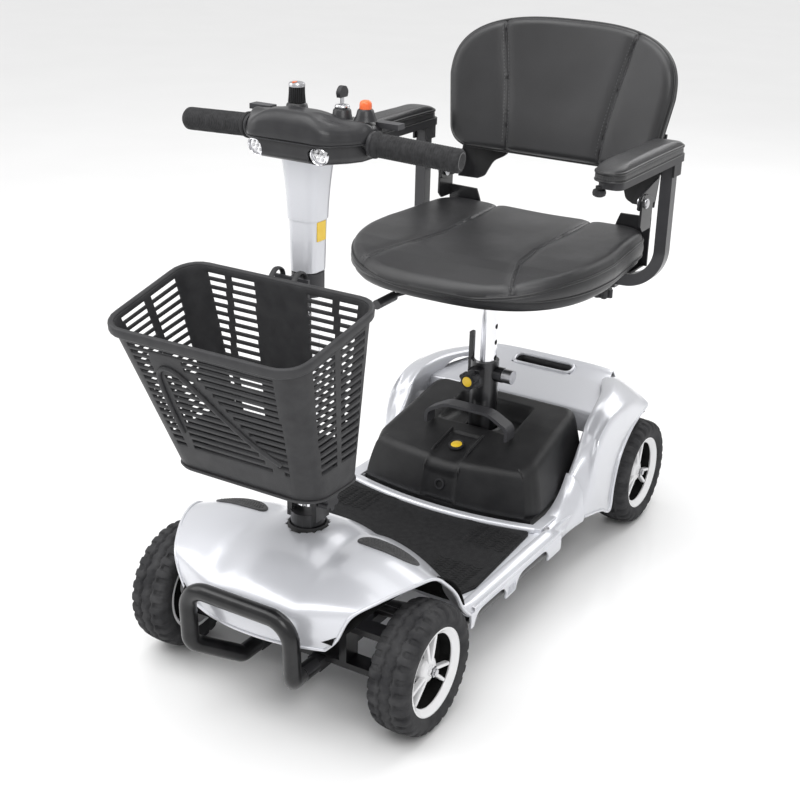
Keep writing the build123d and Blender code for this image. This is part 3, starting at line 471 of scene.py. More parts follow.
# ---- cushions --------------------------------------------------------------------------------------
def rounded(points, radii, per=10):
    """A dense closed loop through 2-D corners, each rounded to its radius."""
    out = []
    n = len(points)
    for i in range(n):
        p, a, b = (np.array(points[j % n], float) for j in (i, i - 1, i + 1))
        u, w = (a - p) / np.linalg.norm(a - p), (b - p) / np.linalg.norm(b - p)
        half = math.acos(max(-1, min(1, float(u @ w)))) / 2
        reach = min(radii[i] / math.tan(half), 0.49 * np.linalg.norm(a - p), 0.49 * np.linalg.norm(b - p))
        start, end = p + u * reach, p + w * reach
        for k in range(per + 1):
            t = k / per
            out.append((1 - t) ** 2 * start + 2 * t * (1 - t) * (p * 0.8 + (start + end) * 0.1) + t * t * end)
    dense = []
    for p, q in zip(out, out[1:] + out[:1]):
        count = max(1, int(np.linalg.norm(q - p) / 4))
        dense += [p + (q - p) * k / count for k in range(count)]
    return dense


def cushion(name, loop, centre, place, top, depth, body, roll=14.0, seams=(), n=150, bulge=3.0,
        mat=None, welt=True, slot="vinyl", dent=None):
    """A stuffed pad over a star-shaped outline, with rolled edges, bulging sides and sewn-in seams.

    place(a, b, h) turns outline coordinates and height into a drawing point; top(a, b) is its face height.
    """
    stretch = max(abs(p[1] - centre[1]) for p in loop) / max(abs(p[0] - centre[0]) for p in loop)
    angles = [atan2((p[1] - centre[1]) / stretch, p[0] - centre[0]) for p in loop]
    order = np.argsort(angles)
    table_a = np.array(angles)[order]
    table_r = np.array([hypot(p[0] - centre[0], (p[1] - centre[1]) / stretch) for p in loop])[order]
    narrow = min(1.0, stretch)

    def reach(angle):
        return float(np.interp(angle, table_a, table_r, period=2 * pi))

    def face_height(a, b, gap):
        h = top(a, b)
        if gap < roll:
            h -= roll * (1 - math.sqrt(max(0.0, 1 - (1 - gap / roll) ** 2)))
        for distance in seams:
            d = distance(a, b)
            h -= 3.6 * exp(-(d / 2.2) ** 2) + 2.4 * exp(-(d / 11.0) ** 2)
        return h + 0.5 * sin(a * 0.035 + 1.3) * sin(b * 0.041)

    verts, index = [], {}
    steps = [-1 + 2 * i / n for i in range(n + 1)]
    steps = [copysign(1 - (1 - abs(s)) ** 1.15, s) for s in steps]
    for i, u in enumerate(steps):
        for j, w in enumerate(steps):
            s = max(abs(u), abs(w))
            angle = atan2(w, u) if s else 0.0
            r = reach(angle)
            a, b = centre[0] + s * r * cos(angle), centre[1] + s * r * sin(angle) * stretch
            index[i, j] = len(verts)
            verts.append(place(a, b, face_height(a, b, (1 - s) * r * narrow)))
    faces = [(index[i, j], index[i + 1, j], index[i + 1, j + 1], index[i, j + 1]) for i in range(n)
        for j in range(n)]
    rim = [(i, 0) for i in range(n)] + [(n, j) for j in range(n)] + [(n - i, n) for i in range(n)] + \
          [(0, n - j) for j in range(n)]
    previous = [index[key] for key in rim]
    edge = []
    for i, j in rim:
        angle = atan2(steps[j], steps[i])
        r = reach(angle)
        edge.append((angle, r, centre[0] + r * cos(angle), centre[1] + r * sin(angle) * stretch))
    for k in range(1, 9):
        t = k / 8
        ring = []
        for angle, r, a, b in edge:
            high = top(a, b) - roll
            h = high * (1 - t) + depth * t
            out = bulge * sin(pi * t) - (3.0 if k == 8 else 0.0) - (dent(a, b) if dent else 0.0)
            ring.append(len(verts))
            verts.append(place(a + out * cos(angle), b + out * sin(angle), h))
        for m in range(len(rim)):
            faces.append((previous[m], previous[(m + 1) % len(rim)], ring[(m + 1) % len(rim)], ring[m]))
        previous = ring
    faces.append(tuple(previous))
    piece = mesh_piece(name, verts, faces, mat or VINYL, body, slot, angle=75)
    if not welt:
        return piece, None
    line = [place(a, b, (top(a, b) - roll) * 0.97 + depth * 0.03) for angle, r, a, b in edge[::2]]
    pipe = mesh_piece(name + "_piping", *sweep(line, 2.6, 10, closed=True), PIPING, body)
    low = [place(a + 0.5 * cos(angle), b + 0.5 * sin(angle), depth + 2.5) for angle, r, a, b in edge[::2]]
    mesh_piece(name + "_lower_welt", *sweep(low, 2.0, 8, closed=True), PIPING, body)
    return piece, pipe


def stitches(name, line, place, top, body, offset=4.2, pitch=6.0):
    """Two rows of thread stitches, one on each side of a seam line of (a, b) points."""
    dense = catmull(line, 40)
    parts = []
    for sign in (-1, 1):
        travelled, run = 0.0, []
        for i in range(1, len(dense)):
            step = dense[i] - dense[i - 1]
            length = float(np.linalg.norm(step))
            if length < 1e-6:
                continue
            side = np.array([step[1], -step[0]]) / length * offset * sign
            run.append((dense[i] + side, travelled))
            travelled += length
        piece = []
        for p, s in run:
            if s % pitch < pitch * 0.62:
                piece.append(p)
            elif piece:
                if len(piece) > 1:
                    ends = [piece[0], piece[len(piece) // 2], piece[-1]]
                    lift = (0.1, 0.55, 0.1)
                    line = [place(*q, top(*q) - 1.9 + up) for q, up in zip(ends, lift)]
                    parts.append(sweep(line, 0.55, 5))
                piece = []
    if parts:
        mesh_piece(name, *joined(*parts), THREAD, body)


def half_oval(half, middle, high):
    """Half a super-ellipse, the outline of the seat's front or the backrest's top."""
    return [(half * copysign(abs(cos(a)) ** (2 / 2.7), cos(a)), middle + high * sin(a) ** (2 / 2.7))
        for a in np.linspace(0.002, pi - 0.002, 160)]


SEAT_LOOP = half_oval(213, 562, -223)
SEAT_LOOP += [p for p in rounded([(-213, 560), (-194, 744), (194, 744), (213, 560)], (1, 44, 44, 1))
    if p[1] > 566]


def seat_top(a, b):
    """Height of the seat's face: a waterfall front, a slight dish and raised sides."""
    along = float(np.interp(b, [320, 340, 356, 380, 404, 440, 500, 750], [516, 523, 530, 536, 541, 545, 547,
        549]))
    return along - 3.0 * exp(-((a / 130) ** 2 + ((b - 570) / 130) ** 2)) + 3.0 * min(1, (a / 190) ** 4)


def seat_seam_x(b):
    """Where the seat's side seams run."""
    return float(np.interp(b, [340, 380, 458, 537, 744], [150, 126, 98, 86, 91]))


def upright(a, b, h):
    """A point on the seat, as drawn."""
    return (a, b, h)


seat_piece, _ = cushion("seat_cushion_soft", SEAT_LOOP, (0, 552), upright, seat_top, 508, "seat", roll=15,
    seams=(lambda a, b: abs(a) - seat_seam_x(b),))
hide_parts("seat_cushion")
for side_name, side in SIDES:
    seam = [(side * seat_seam_x(b), b) for b in (362, 380, 420, 458, 500, 537, 600, 660, 728)]
    stitches("seat_stitches_" + side_name, seam, upright, seat_top, "seat")

RECLINE = radians(14.0)


def leaned(a, b, h):
    """A backrest point: h forward of its rear face, wrapped round the sitter and leaned back."""
    y = 16 + math.sqrt((746 - h) ** 2 - a * a) - HINGE_Y
    z = b - HINGE_Z
    return (a, HINGE_Y + y * cos(RECLINE) + z * sin(RECLINE), HINGE_Z - y * sin(RECLINE) + z * cos(RECLINE))


BACK_LOOP = [p for p in rounded([(-206, 768), (-188, 648), (188, 648), (206, 768)], (1, 34, 34, 1))
    if p[1] < 764]
BACK_LOOP += half_oval(206, 768, 113)


def back_top(a, b):
    """How far the backrest's face stands forward of its rear face."""
    return 27.5 + 3.0 * exp(-((b - 690) / 45) ** 2) * exp(-(a / 120) ** 2) - 2.0 * ((b - 764) / 116) ** 2


def back_seam_x(b):
    """Where the backrest's side seams run."""
    return 88 + 38 * (max(b - 648, 0) / 232) ** 1.5


back_piece, _ = cushion("backrest_cushion_soft", BACK_LOOP, (0, 765), leaned, back_top, 1.5, "backrest",
    roll=13, seams=(lambda a, b: abs(a) - back_seam_x(b),), bulge=2.0)
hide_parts("backrest_cushion")
for side_name, side in SIDES:
    seam = [(side * back_seam_x(b), b) for b in (662, 700, 740, 780, 820, 866)]
    stitches("backrest_stitches_" + side_name, seam, leaned, back_top, "backrest")

shell_piece, _ = cushion("backrest_shell_back", BACK_LOOP, (0, 765), lambda a, b, h: leaned(a, b, 0.5 - h),
    lambda a, b: 7.0, 0.0, "backrest", roll=5, bulge=0.5, mat=BLACK_PLASTIC, welt=None,
    slot="black_plastic")
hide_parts("backrest_shell")
pan_rings = []
for scale, z in ((0.985, 513), (0.99, 506), (0.982, 499), (0.955, 492), (0.90, 488), (0.6, 486.5)):
    pan_rings += [(x * scale, 555 + (y - 555) * scale, z) for x, y in SEAT_LOOP]
seat_shell = black_piece("seat_shell", (pan_rings, grid_faces(6, len(SEAT_LOOP), close_columns=True)), "seat",
    angle=60)
solidify(seat_shell, 2.0)
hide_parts("seat_pan")


def plate(outline, low, high, placed):
    """A flat plate from an (a, b) outline between two depths, placed by a function of (a, depth, b)."""
    count = len(outline)
    verts = [placed(a, depth, b) for depth in (low, high) for a, b in outline]
    sides = [(i, (i + 1) % count, (i + 1) % count + count, i + count) for i in range(count)]
    return verts, sides + [tuple(range(count))[::-1], tuple(range(count, 2 * count))]


def lean(a, y, z):
    """A point of the folding frame, leaned back about its hinge."""
    y, z = y - HINGE_Y, z - HINGE_Z
    return (a, HINGE_Y + y * cos(RECLINE) + z * sin(RECLINE), HINGE_Z - y * sin(RECLINE) + z * cos(RECLINE))


for side_name, side in SIDES:
    curve = [tuple(p) for p in catmull([(97, 700), (97, 652), (103, 640), (122, 628), (131, 612), (137, 600),
        (150, 593)], 5)]
    web = plate([(side * a, b) for a, b in curve + [(189.5, 592), (189.5, 715), (100, 715)]], 769.4, 773.4,
        lean)
    cheek = [(702, 586), (708, 584), (724, 585), (773, 604), (773.4, 640), (769, 642), (712, 612), (703, 606)]
    cheek = plate(cheek, side * 185.5, side * 189.5, lambda a, depth, b: lean(depth, a, b))
    leg = mesh_piece("backrest_leg_" + side_name, *joined(web, cheek), FRAME_BLACK, "backrest", angle=30)
    curve = [tuple(p) for p in catmull([(112, 482.5), (118, 500), (127, 520), (131, 545), (139, 567)], 5)]
    web = plate([(side * a, b) for a, b in curve + [(194, 568), (194, 482.5)]], 745.5, 749.5, lambda a, depth,
        b: (a, depth, b))
    cheek = [(702, 560), (712, 550), (749, 550), (749.5, 600), (728, 611), (712, 612), (703, 604)]
    cheek = plate(cheek, side * 190, side * 194, lambda a, depth, b: (depth, a, b))
    stand = mesh_piece("seat_hinge_" + side_name, *joined(web, cheek, bar((side * 117, 692, 482),
        (side * 190, 749, 486))), FRAME_BLACK, "seat", angle=30)
    bolt = lathe((side * 184, HINGE_Y, HINGE_Z), (side, 0, 0), [(0, -2), (8, -2), (8, 0.5), (5, 0.5), (5, 10.5),
        (8.4, 10.5), (8.4, 13), (7, 14.4), (0, 14.8)], 32)
    mesh_piece("hinge_bolt_" + side_name, *bolt, STEEL, "seat", "black_steel")
    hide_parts("backrest_brackets")
    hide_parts("seat_hinge_brackets")
    for piece in (leg, stand):
        ease(piece, 0.8)
    black_piece("armrest_knob_" + side_name, lathe((side * 216, 470, 677), (0, 0, -1),
        [(0, -2), (6, -2), (6, 2), (9.5, 4), (10.5, 8), (9.5, 12), (6, 14), (0, 14.4)], 40),
        "armrest_" + side_name)

for side_name, side in SIDES:
    centre_x = side * ARM_X
    pad_loop = rounded([(centre_x - 23, 452), (centre_x + 23, 452), (centre_x + 22, 722), (centre_x - 22, 722)],
        (22, 22, 20, 20))
    pad_piece, _ = cushion(f"armrest_pad_{side_name}_soft", pad_loop, (centre_x, 587), upright, lambda a,
        b: 715.5 - 1.6 * ((b - 587) / 135) ** 2, 688.5, f"armrest_{side_name}", roll=11, n=90, bulge=1.5)
    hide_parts(f"armrest_pad_{side_name}")


# ---- kept CAD nodes --------------------------------------------------------------------------------
for node in ("front_frame", "rear_frame", "front_bumper", "steering_column", "knuckle_left", "knuckle_right",
        "tie_rod", "arm_tube_left", "arm_tube_right"):
    skin(node, FRAME_BLACK, 0.6)
for node in ("seat_bracket", "swivel_lever", "handlebar"):
    skin(node, FRAME_BLACK, 0.5)
for node in ("seat_post", "tiller_post"):
    skin(node, CHROME)
for node in ("transaxle_housing", "drive_motor"):
    skin(node, CAST, 1.0)
for node in ("battery_cells", "controller_box", "battery_base"):
    skin(node, BOX_PLASTIC, 1.6, 3)
for node in ("battery_handle", "tilt_knob", "post_clamp_knob", "arm_knob_left", "arm_knob_right",
        "basket_bracket", "throttle_lever", "armrest_pan_left", "armrest_pan_right"):
    skin(node, BLACK_PLASTIC, 0.9)
skin("tiller_cover", SILVER, 1.5, 3)
skin("head_lower", HEAD_PLASTIC, 2.0, 4)
skin("floor_mat", MAT, 1.0)
skin("post_lock_pin", STEEL, 0.4)


# ---- hood and deck ---------------------------------------------------------------------------------
HOOD_STATIONS = [((-119, 139), (112, -92, 136)), ((-121, 165), (131, -92, 158)), ((-113, 196), (149, -86, 196)),
    ((-70, 220), (172, -54, 211)), ((-20, 237), (195, -8, 219)), ((28, 243), (206, 34, 216)),
    ((72, 238), (209, 66, 192)), ((112, 214), (210, 92, 165)), ((136, 170), (210.5, 112, 134)),
    ((152, 115), (211, 134, 112))]


def hood_grid():
    """The hood's surface: a crowned middle, shallow valleys beside it and swelling wheel arches."""
    centres = catmull([c for c, _ in HOOD_STATIONS], 9)
    edges = catmull([e for _, e in HOOD_STATIONS], 9)
    columns, verts = 97, []
    for i, (c, e) in enumerate(zip(centres, edges)):
        t = i / (len(centres) - 1)
        fade = sin(pi * min(1, max(0, (t - 0.05) / 0.95)))
        for j in range(columns):
            u = -1 + 2 * j / (columns - 1)
            x = e[0] * u
            z = c[1] + (e[2] - c[1]) * abs(u) ** 2.6
            z += fade * (3.5 * exp(-(x / 46) ** 4) - 5.0 * exp(-((abs(x) - 72) / 17) ** 2)
                + 3.0 * exp(-((abs(x) - 140) / 40) ** 2))
            verts.append((x, c[0] + (e[1] - c[0]) * abs(u) ** 2.2, z))
    return verts, len(centres), columns, edges


hood_verts, hood_rows, hood_columns, hood_edges = hood_grid()
hood_quads = [q for q in grid_faces(hood_rows, hood_columns) if hypot(sum(hood_verts[i][0] for i in q) / 4,
    sum(hood_verts[i][1] for i in q) / 4 - 28) > 30]
hood = panel_piece("hood_panel", (hood_verts, hood_quads), angle=60)
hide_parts("front_shroud")
hood_tree = BVHTree.FromPolygons([Vector(v) for v in hood_verts], grid_faces(hood_rows, hood_columns))


def on_hood(x, y, lift=0.0):
    """The point on the hood above a plan position, and how far it is lifted."""
    hit = hood_tree.ray_cast(Vector((x, y, 400)), Vector((0, 0, -1)))
    z = hit[0].z if hit[0] else 200.0
    return (x, y, z + lift)


solidify(hood, 3.2, 0.5)
for side_name, side in SIDES:
    arch = [(side * e[0], e[1], e[2]) for e in hood_edges]
    panel_piece("arch_lip_" + side_name, sweep(arch, 2.6, 12))
    # A near-black sheet of painted shade inside each front wheel arch.
    shade_sheet = []
    for k in range(33):
        angle = radians(-62 + 134 * k / 32)
        y = 8 + 121.5 * sin(angle)
        reach = float(np.interp(y, [e[1] for e in hood_edges[9:]], [e[0] for e in hood_edges[9:]])) - 3
        for x in (99, (99 + reach) / 2, reach):
            shade_sheet.append((side * x, y, 95 + 121.5 * cos(angle)))
    well = mesh_piece("arch_shade_sheet_" + side_name, shade_sheet, grid_faces(33, 3), SHADE_BLACK, "chassis")
    solidify(well, 1.5)
nose = [hood_verts[j] for j in range(hood_columns)]
panel_piece("hood_nose_lip", sweep(nose, 2.4, 12))
black_piece("column_boot", lathe((0, 28, 236), (0, 0, 1), [(27, -6), (36, 0), (37, 4), (34, 7), (31, 7.5),
    (29, 10), (28, 13), (26.5, 13), (26.5, -6)], 64, closed=True), "chassis")

deck_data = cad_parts["front_shroud"].data.copy()
deck_bm = bmesh.new()
deck_bm.from_mesh(deck_data)
bmesh.ops.remove_doubles(deck_bm, verts=deck_bm.verts, dist=0.00002)
bmesh.ops.bisect_plane(deck_bm, geom=deck_bm.verts[:] + deck_bm.edges[:] + deck_bm.faces[:], dist=0.00001,
    plane_co=at(0, 151, 0), plane_no=(0, 1, 0), clear_inner=True)
bmesh.ops.dissolve_limit(deck_bm, angle_limit=0.02, verts=deck_bm.verts, edges=deck_bm.edges)
deck_bm.to_mesh(deck_data)
deck_bm.free()
deck_data.materials.clear()
deck = dress(deck_data, "deck_moulding", SILVER, "chassis")
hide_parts("front_shroud")
ease(deck, 1.8, 3)

for side_name, side in SIDES:
    rail = [(side * x, z) for x, z in ((184, 113), (188, 118.5), (194, 120), (201, 118), (206.5, 112),
        (209.5, 106), (209, 103), (200, 103), (186, 108))]
    verts = []
    for k in range(25):
        y = 140 + 298 * k / 24
        narrow, low = (1 if 0 < k < 24 else 0.985), (1.0 if k < 24 else 0.9)
        verts += [(x * narrow, y, z * low) for x, z in rail]
    faces = grid_faces(25, len(rail), close_columns=True) + [tuple(range(9))[::-1], tuple(range(216, 225))]
    panel_piece("deck_rail_" + side_name, (verts, faces))
    panel = []
    for k in range(151):
        y, low = 140 + 2 * k, 84.0
        for start, end in ((150, 254), (282, 398)):
            across = (2 * y - start - end) / (end - start)
            if abs(across) < 1:
                low = 84 + 21.5 * (1 - abs(across) ** 7)
        panel += [(side * 211, y, low), (side * 211.4, y, (low + 108) / 2), (side * 210.6, y, 108)]
    solidify(panel_piece("deck_side_panel_" + side_name, (panel, grid_faces(151, 3))), 3.2, 0.6)
    grooves = [sweep([(side * 212, y, 85), (side * 212.4, y, 100)], 0.9, 8) for y in (258, 263, 268, 273, 278)]
    panel_piece("deck_panel_ribs_" + side_name, joined(*grooves))
    flank = []
    rows = catmull([(430, 118), (462, 120), (492, 127), (518, 142), (541, 168)], 6)
    for y, z in rows:
        out = 206 - 4 * sin(pi * (y - 430) / 111)
        flank += [(side * 166, y, z), (side * 178, y, z + 1.5), (side * 189, y, z - 1.5 - (y - 430) * 0.06),
            (side * 198, y, z - 8 - (y - 430) * 0.17), (side * out, y, 106 - (y - 430) * 0.08),
            (side * (out - 2), y, 88)]
    solidify(panel_piece("deck_flank_" + side_name, (flank, grid_faces(len(rows), 6)), angle=60), 3.0, 0.5)
    mesh_piece("deck_screw_" + side_name, *lathe((side * 188.7, 426, 117), (0, 0, 1),
        [(0, 2.2), (2.4, 2.2), (3, 3.4), (5.6, 3.4), (6.2, 2.6), (6.2, 0)], 24), STEEL, "chassis")
bow = []
for k in range(41):
    a = radians(-17.2 + 34.4 * k / 40)
    bow.append((595 * sin(a), 398 + 580 - 593 * cos(a), 118.5))
panel_piece("box_front_lip", sweep(bow, 5.5, 14))


# ---- rear cover ------------------------------------------------------------------------------------
SHOULDER = [((167, 532, 106), (167, 532, 150), (180, 536, 156), (192, 539, 132), (203, 541, 104),
    (204, 543, 96)), ((167, 560, 106), (167, 562, 180), (180, 558, 186), (194, 557, 166), (205, 556, 128),
    (206, 575, 90)), ((167, 584, 106), (167, 584, 208), (180, 580, 214), (195, 574, 204), (207, 570, 180),
    (206, 612, 80)), ((167, 600, 120), (167, 602, 232), (180, 600, 237), (196, 594, 230), (207, 590, 210),
    (206, 648, 66)), ((164, 640, 200), (164, 640, 252), (178, 640, 256), (196, 634, 250), (207, 632, 232),
    (206, 656, 112)), ((150, 700, 250), (152, 700, 260), (170, 700, 263), (193, 694, 255), (207, 690, 238),
    (206, 676, 160)), ((125, 760, 246), (128, 760, 258), (152, 760, 260), (188, 754, 247), (206, 752, 224),
    (206, 722, 199)), ((118, 800, 234), (120, 800, 247), (142, 800, 249), (182, 792, 234), (205, 788, 221),
    (205, 784, 217))]
for side_name, side in SIDES:
    lines = [catmull([row[c] for row in SHOULDER], 8) for c in range(6)]
    rows = len(lines[0])
    verts = []
    for i in range(rows):
        across = catmull([line[i] for line in lines], 4)
        verts += [(side * p[0], p[1], p[2]) for p in across]
    shoulder = panel_piece("rear_fender_" + side_name, (verts, grid_faces(rows, 21)), angle=65)
    solidify(shoulder, 3.0, 0.5)
    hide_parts("rear_shroud")
    lip = [(side * p[0], p[1], p[2]) for p in lines[5]]
    panel_piece("rear_fender_lip_" + side_name, sweep(lip, 2.6, 12))
    # A near-black sheet of painted shade inside each rear wheel well.
    well = []
    for k in range(25):
        angle = radians(-70 + 79 * k / 24)
        for x in (148, 176, 203):
            well.append((side * x, 765 + 112 * sin(angle), 95 + 112 * cos(angle)))
    solidify(mesh_piece("rear_well_" + side_name, well, grid_faces(25, 3), SHADE_BLACK, "chassis"), 1.5)

TOP = [(643, 205, 167), (645, 230, 167), (653, 240, 166), (700, 246, 158), (745, 249, 142), (764, 250, 134),
    (780, 253, 130), (794, 257, 128), (804, 261, 126), (814, 259, 125), (830, 234, 126), (842, 190, 130),
    (846, 124, 140)]
top_rows = catmull(TOP, 10)
verts = []
for y, z, half in top_rows:
    for j in range(41):
        u = -1 + 2 * j / 40
        verts.append((half * u, y, z - 4 * abs(u) ** 4))
slot_quads = [q for q in grid_faces(len(top_rows), 41) if not (764 < sum(verts[i][1] for i in q) / 4 < 794
    and abs(sum(verts[i][0] for i in q) / 4) < 58)]
rear_top = panel_piece("rear_cover_top", (verts, slot_quads), angle=60)
solidify(rear_top, 3.0, 0.5)
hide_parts("rear_shroud")
slot_loop = [(x, y, float(np.interp(y, [764, 780, 794], [250.5, 253.5, 257.5]))) for x,
    y in rounded([(-58, 764), (58, 764), (58, 794), (-58, 794)], (12,) * 4)]
panel_piece("hand_slot_rim", sweep(slot_loop, 3.2, 10, closed=True))
slot_wall = [(x, y, z - d) for d in (0, 14, 28) for x, y, z in slot_loop]
solidify(black_piece("hand_slot_wall", (slot_wall, grid_faces(3, len(slot_loop), close_columns=True)),
    "chassis"), 1.5)


# ---- toe pads and mat ------------------------------------------------------------------------------
def oval(cx, cy, half_long, half_wide, turn, count=64):
    """A stadium-like loop in plan."""
    out = []
    for k in range(count):
        a = 2 * pi * k / count
        c, s = cos(a), sin(a)
        px = half_long * copysign(abs(c) ** 0.7, c)
        py = half_wide * copysign(abs(s) ** 0.85, s)
        out.append((cx + px * cos(turn) - py * sin(turn), cy + px * sin(turn) + py * cos(turn)))
    return out


for side_name, side in SIDES:
    cx, cy, turn = side * 128, 40, side * radians(4)
    verts = []
    for scale, lift in ((1.0, -1.5), (1.0, 1.6), (0.975, 2.6), (0.93, 2.9), (0.88, 2.2), (0.6, 2.2),
            (0.3, 2.2)):
        verts += [on_hood(x, y, lift) for x, y in oval(cx, cy, 48 * scale, 14.5 * scale, turn)]
    pad = (verts, grid_faces(7, 64, close_columns=True) + [tuple(range(384, 448))])
    bumps = []
    for i in range(-9, 10):
        for j in (-2, -1, 0, 1, 2):
            a, b = i * 4.4 + (2.2 if j % 2 else 0), j * 4.4
            if (a / 43) ** 2 + (b / 12) ** 2 > 1:
                continue
            px, py = cx + a * cos(turn) - b * sin(turn), cy + a * sin(turn) + b * cos(turn)
            bumps.append(lathe(on_hood(px, py, 1.8), (0, 0, 1), [(1.7, 0), (1.5, 0.9), (0.9, 1.3), (0, 1.35)],
                8))
    piece = mesh_piece("toe_pad_" + side_name, *joined(pad, *bumps), PAD_RUBBER, "chassis")
    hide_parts("toe_pads")

ribs = []
for side in (-1, 1):
    for y0, count in ((186, 11), (318, 10)):
        for i in range(count):
            for j in range(8):
                x, y = side * (96 + j * 9.5), y0 + i * 6.6
                if abs(x) > 176 or y > 392:
                    continue
                rib = bar((-4.6, -1.2, 0), (4.6, 1.2, 1.3), 0.4)
                turn = Matrix.Rotation(radians(38 if j % 2 else -38), 4, "Z")
                ribs.append(moved(rib, Matrix.Translation((x, y, 117.8)) @ turn))
mesh_piece("mat_herringbone", *joined(*ribs), MAT, "chassis")
edge_loop = [(x, y, 117.6) for x, y in rounded([(-169, 168), (169, 168), (181, 202), (170, 384), (-170, 384),
    (-181, 202)], (12,) * 6)]
mesh_piece("mat_edge_bead", *sweep(edge_loop, 1.5, 8, closed=True), MAT, "chassis")


# ---- basket ----------------------------------------------------------------------------------------
BASKET_FLOOR, BASKET_HIGH = 368.0, 272
def basket_ring(t):
    """The basket's half width, front and back at a height share t (0 floor, 1 at z 640)."""
    return 117 + 40 * t, -124 - 112 * t, -8 - 26 * t


def perimeter(z, count):
    """Points round the basket at a height; the first is the middle of the back."""
    half, front, back = basket_ring((z - BASKET_FLOOR) / BASKET_HIGH)
    r, loop = 34, []
    for cx, cy, start in ((half - r, back - r, 90), (half - r, front + r, 0), (-half + r, front + r, -90),
            (-half + r, back - r, -180)):
        turns = [radians(start - 90 * k / 8) for k in range(9)]
        loop += [(cx + r * cos(a), cy + r * sin(a)) for a in turns]
    loop = [(0.0, back)] + loop + [(0.0, back)]
    lengths = np.concatenate([[0], np.cumsum([math.dist(loop[i], loop[i + 1]) for i in range(len(loop) - 1)])])
    at_s = np.linspace(0, lengths[-1], count + 1)[:-1]
    return [(float(np.interp(s, lengths, [p[0] for p in loop])), float(np.interp(s, lengths,
        [p[1] for p in loop]))) for s in at_s]


def rim_height(y):
    """The rim slopes up to the back."""
    return 571 + (y + 260) * 0.225


def basket():
    """A tapered basket with rows of slots that follow its rim, a raised arch figure and a plain base band."""
    count, slots = 288, 17
    levels = [0.0, 0.04, 0.09, 0.15]
    for k in range(slots):
        start = 0.15 + k * 0.82 / slots
        levels += [start + 0.82 / slots * f for f in (0.42, 1.0)]
    levels += [1.0]
    verts, rings = [], {}
    base = perimeter(BASKET_FLOOR, count)
    for share in levels:
        for k, (x, y) in enumerate(base):
            for _ in range(3):  # the rim's slope and the wall's lean depend on each other
                z = BASKET_FLOOR + (rim_height(y) - 3 - BASKET_FLOOR) * share
                x, y = ring_point(rings, z, k, count)
            verts.append((x, y, z))
    faces = []
    for i in range(len(levels) - 1):
        for k in range(count):
            a, b = i * count + k, i * count + (k + 1) % count
            quad = (a, b, b + count, a + count)
            middle = (sum(verts[v][axis] for v in quad) / 4 for axis in range(3))
            slot_row = 3 <= i < len(levels) - 2 and (i - 3) % 2 == 1
            if not slot_row or solid_here(*middle):
                faces.append(quad)
    return verts, faces, count


def ring_point(rings, z, k, count):
    """A cached point on the basket's wall at a height."""
    low = math.floor(z / 4)
    f = z / 4 - low
    for n in (low, low + 1):
        if n not in rings:
            rings[n] = perimeter(n * 4.0, count)
    p, q = rings[low][k], rings[low + 1][k]
    return p[0] * (1 - f) + q[0] * f, p[1] * (1 - f) + q[1] * f


def solid_here(x, y, z):
    """Whether the wall is unpierced at a slot: corners, posts and the arch figure."""
    half, front, back = basket_ring((z - BASKET_FLOOR) / BASKET_HIGH)
    share = (z - 400) / (rim_height(y) - 412)
    on_back, on_front = abs(y - back) < 3, abs(y - front) < 3
    if not on_back and not on_front:
        along = (y - front) / (back - front)
        return along < 0.2 or along > 0.82 or abs(along - 0.5) < 0.03
    if abs(x) > half - 32:
        return True
    if on_back:
        return abs(x) < 42 or abs(abs(x) - 86) < 5
    climb = 1 - share
    left_leg = abs(x + 74 - 6 * climb) < 7 and share < 0.78
    right_leg = abs(x - (-46 + 128 * climb ** 1.1)) < 9 and share < 0.8
    cap = 0.74 < share < 0.9 and -82 < x < -30
    return left_leg or right_leg or cap


basket_verts, basket_faces, ring_count = basket()
basket_wall = mesh_piece("basket_wall", basket_verts, basket_faces, BASKET_PLASTIC, "basket", angle=50)
solidify(basket_wall, 3.2, 0.5)
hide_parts("basket")
floor_ring = basket_verts[:ring_count]
floor_rings = []
for scale in (1.0, 0.985, 0.95):
    floor_rings += [(p[0] * scale, -66 + (p[1] + 66) * scale, 368 - (0 if scale == 1 else 2.0))
        for p in floor_ring]
floor_piece = mesh_piece("basket_floor", floor_rings, grid_faces(3, ring_count, close_columns=True)
    + [tuple(range(2 * ring_count, 3 * ring_count))], BASKET_PLASTIC, "basket")
solidify(floor_piece, 3.0, offset=1.0)
rim_line = basket_verts[-ring_count:]
rim_path = [(p[0] * 1.012, -134 + (p[1] + 134) * 1.012, p[2]) for p in rim_line[::3]]
rim_section = [(-1.5, -9), (1.2, -9), (2.6, -7.5), (3.4, 1.5), (2.2, 3.6), (-0.6, 4.2), (-3.2, 3.4),
    (-4.4, 1.0), (-3.6, -1.5), (-2.0, -2.0)]
rim_verts = []
for i, p in enumerate(rim_path):
    out = Vector((p[0], p[1] + 134, 0)).normalized()
    ahead, behind = Vector(rim_path[(i + 1) % len(rim_path)]), Vector(rim_path[i - 1])
    tangent = (ahead - behind).normalized()
    normal = Vector((tangent.y, -tangent.x, 0)).normalized()
    if normal.dot(out) < 0:
        normal = -normal
    rim_verts += [(p[0] + normal.x * o, p[1] + normal.y * o, p[2] + h) for o, h in rim_section]
mesh_piece("basket_rim", rim_verts, grid_faces(len(rim_path), len(rim_section), close_rows=True,
    close_columns=True), BASKET_PLASTIC, "basket", angle=60)


def front_y(z):
    """The front wall's place at a height."""
    return -124 - 112 * (z - BASKET_FLOOR) / BASKET_HIGH


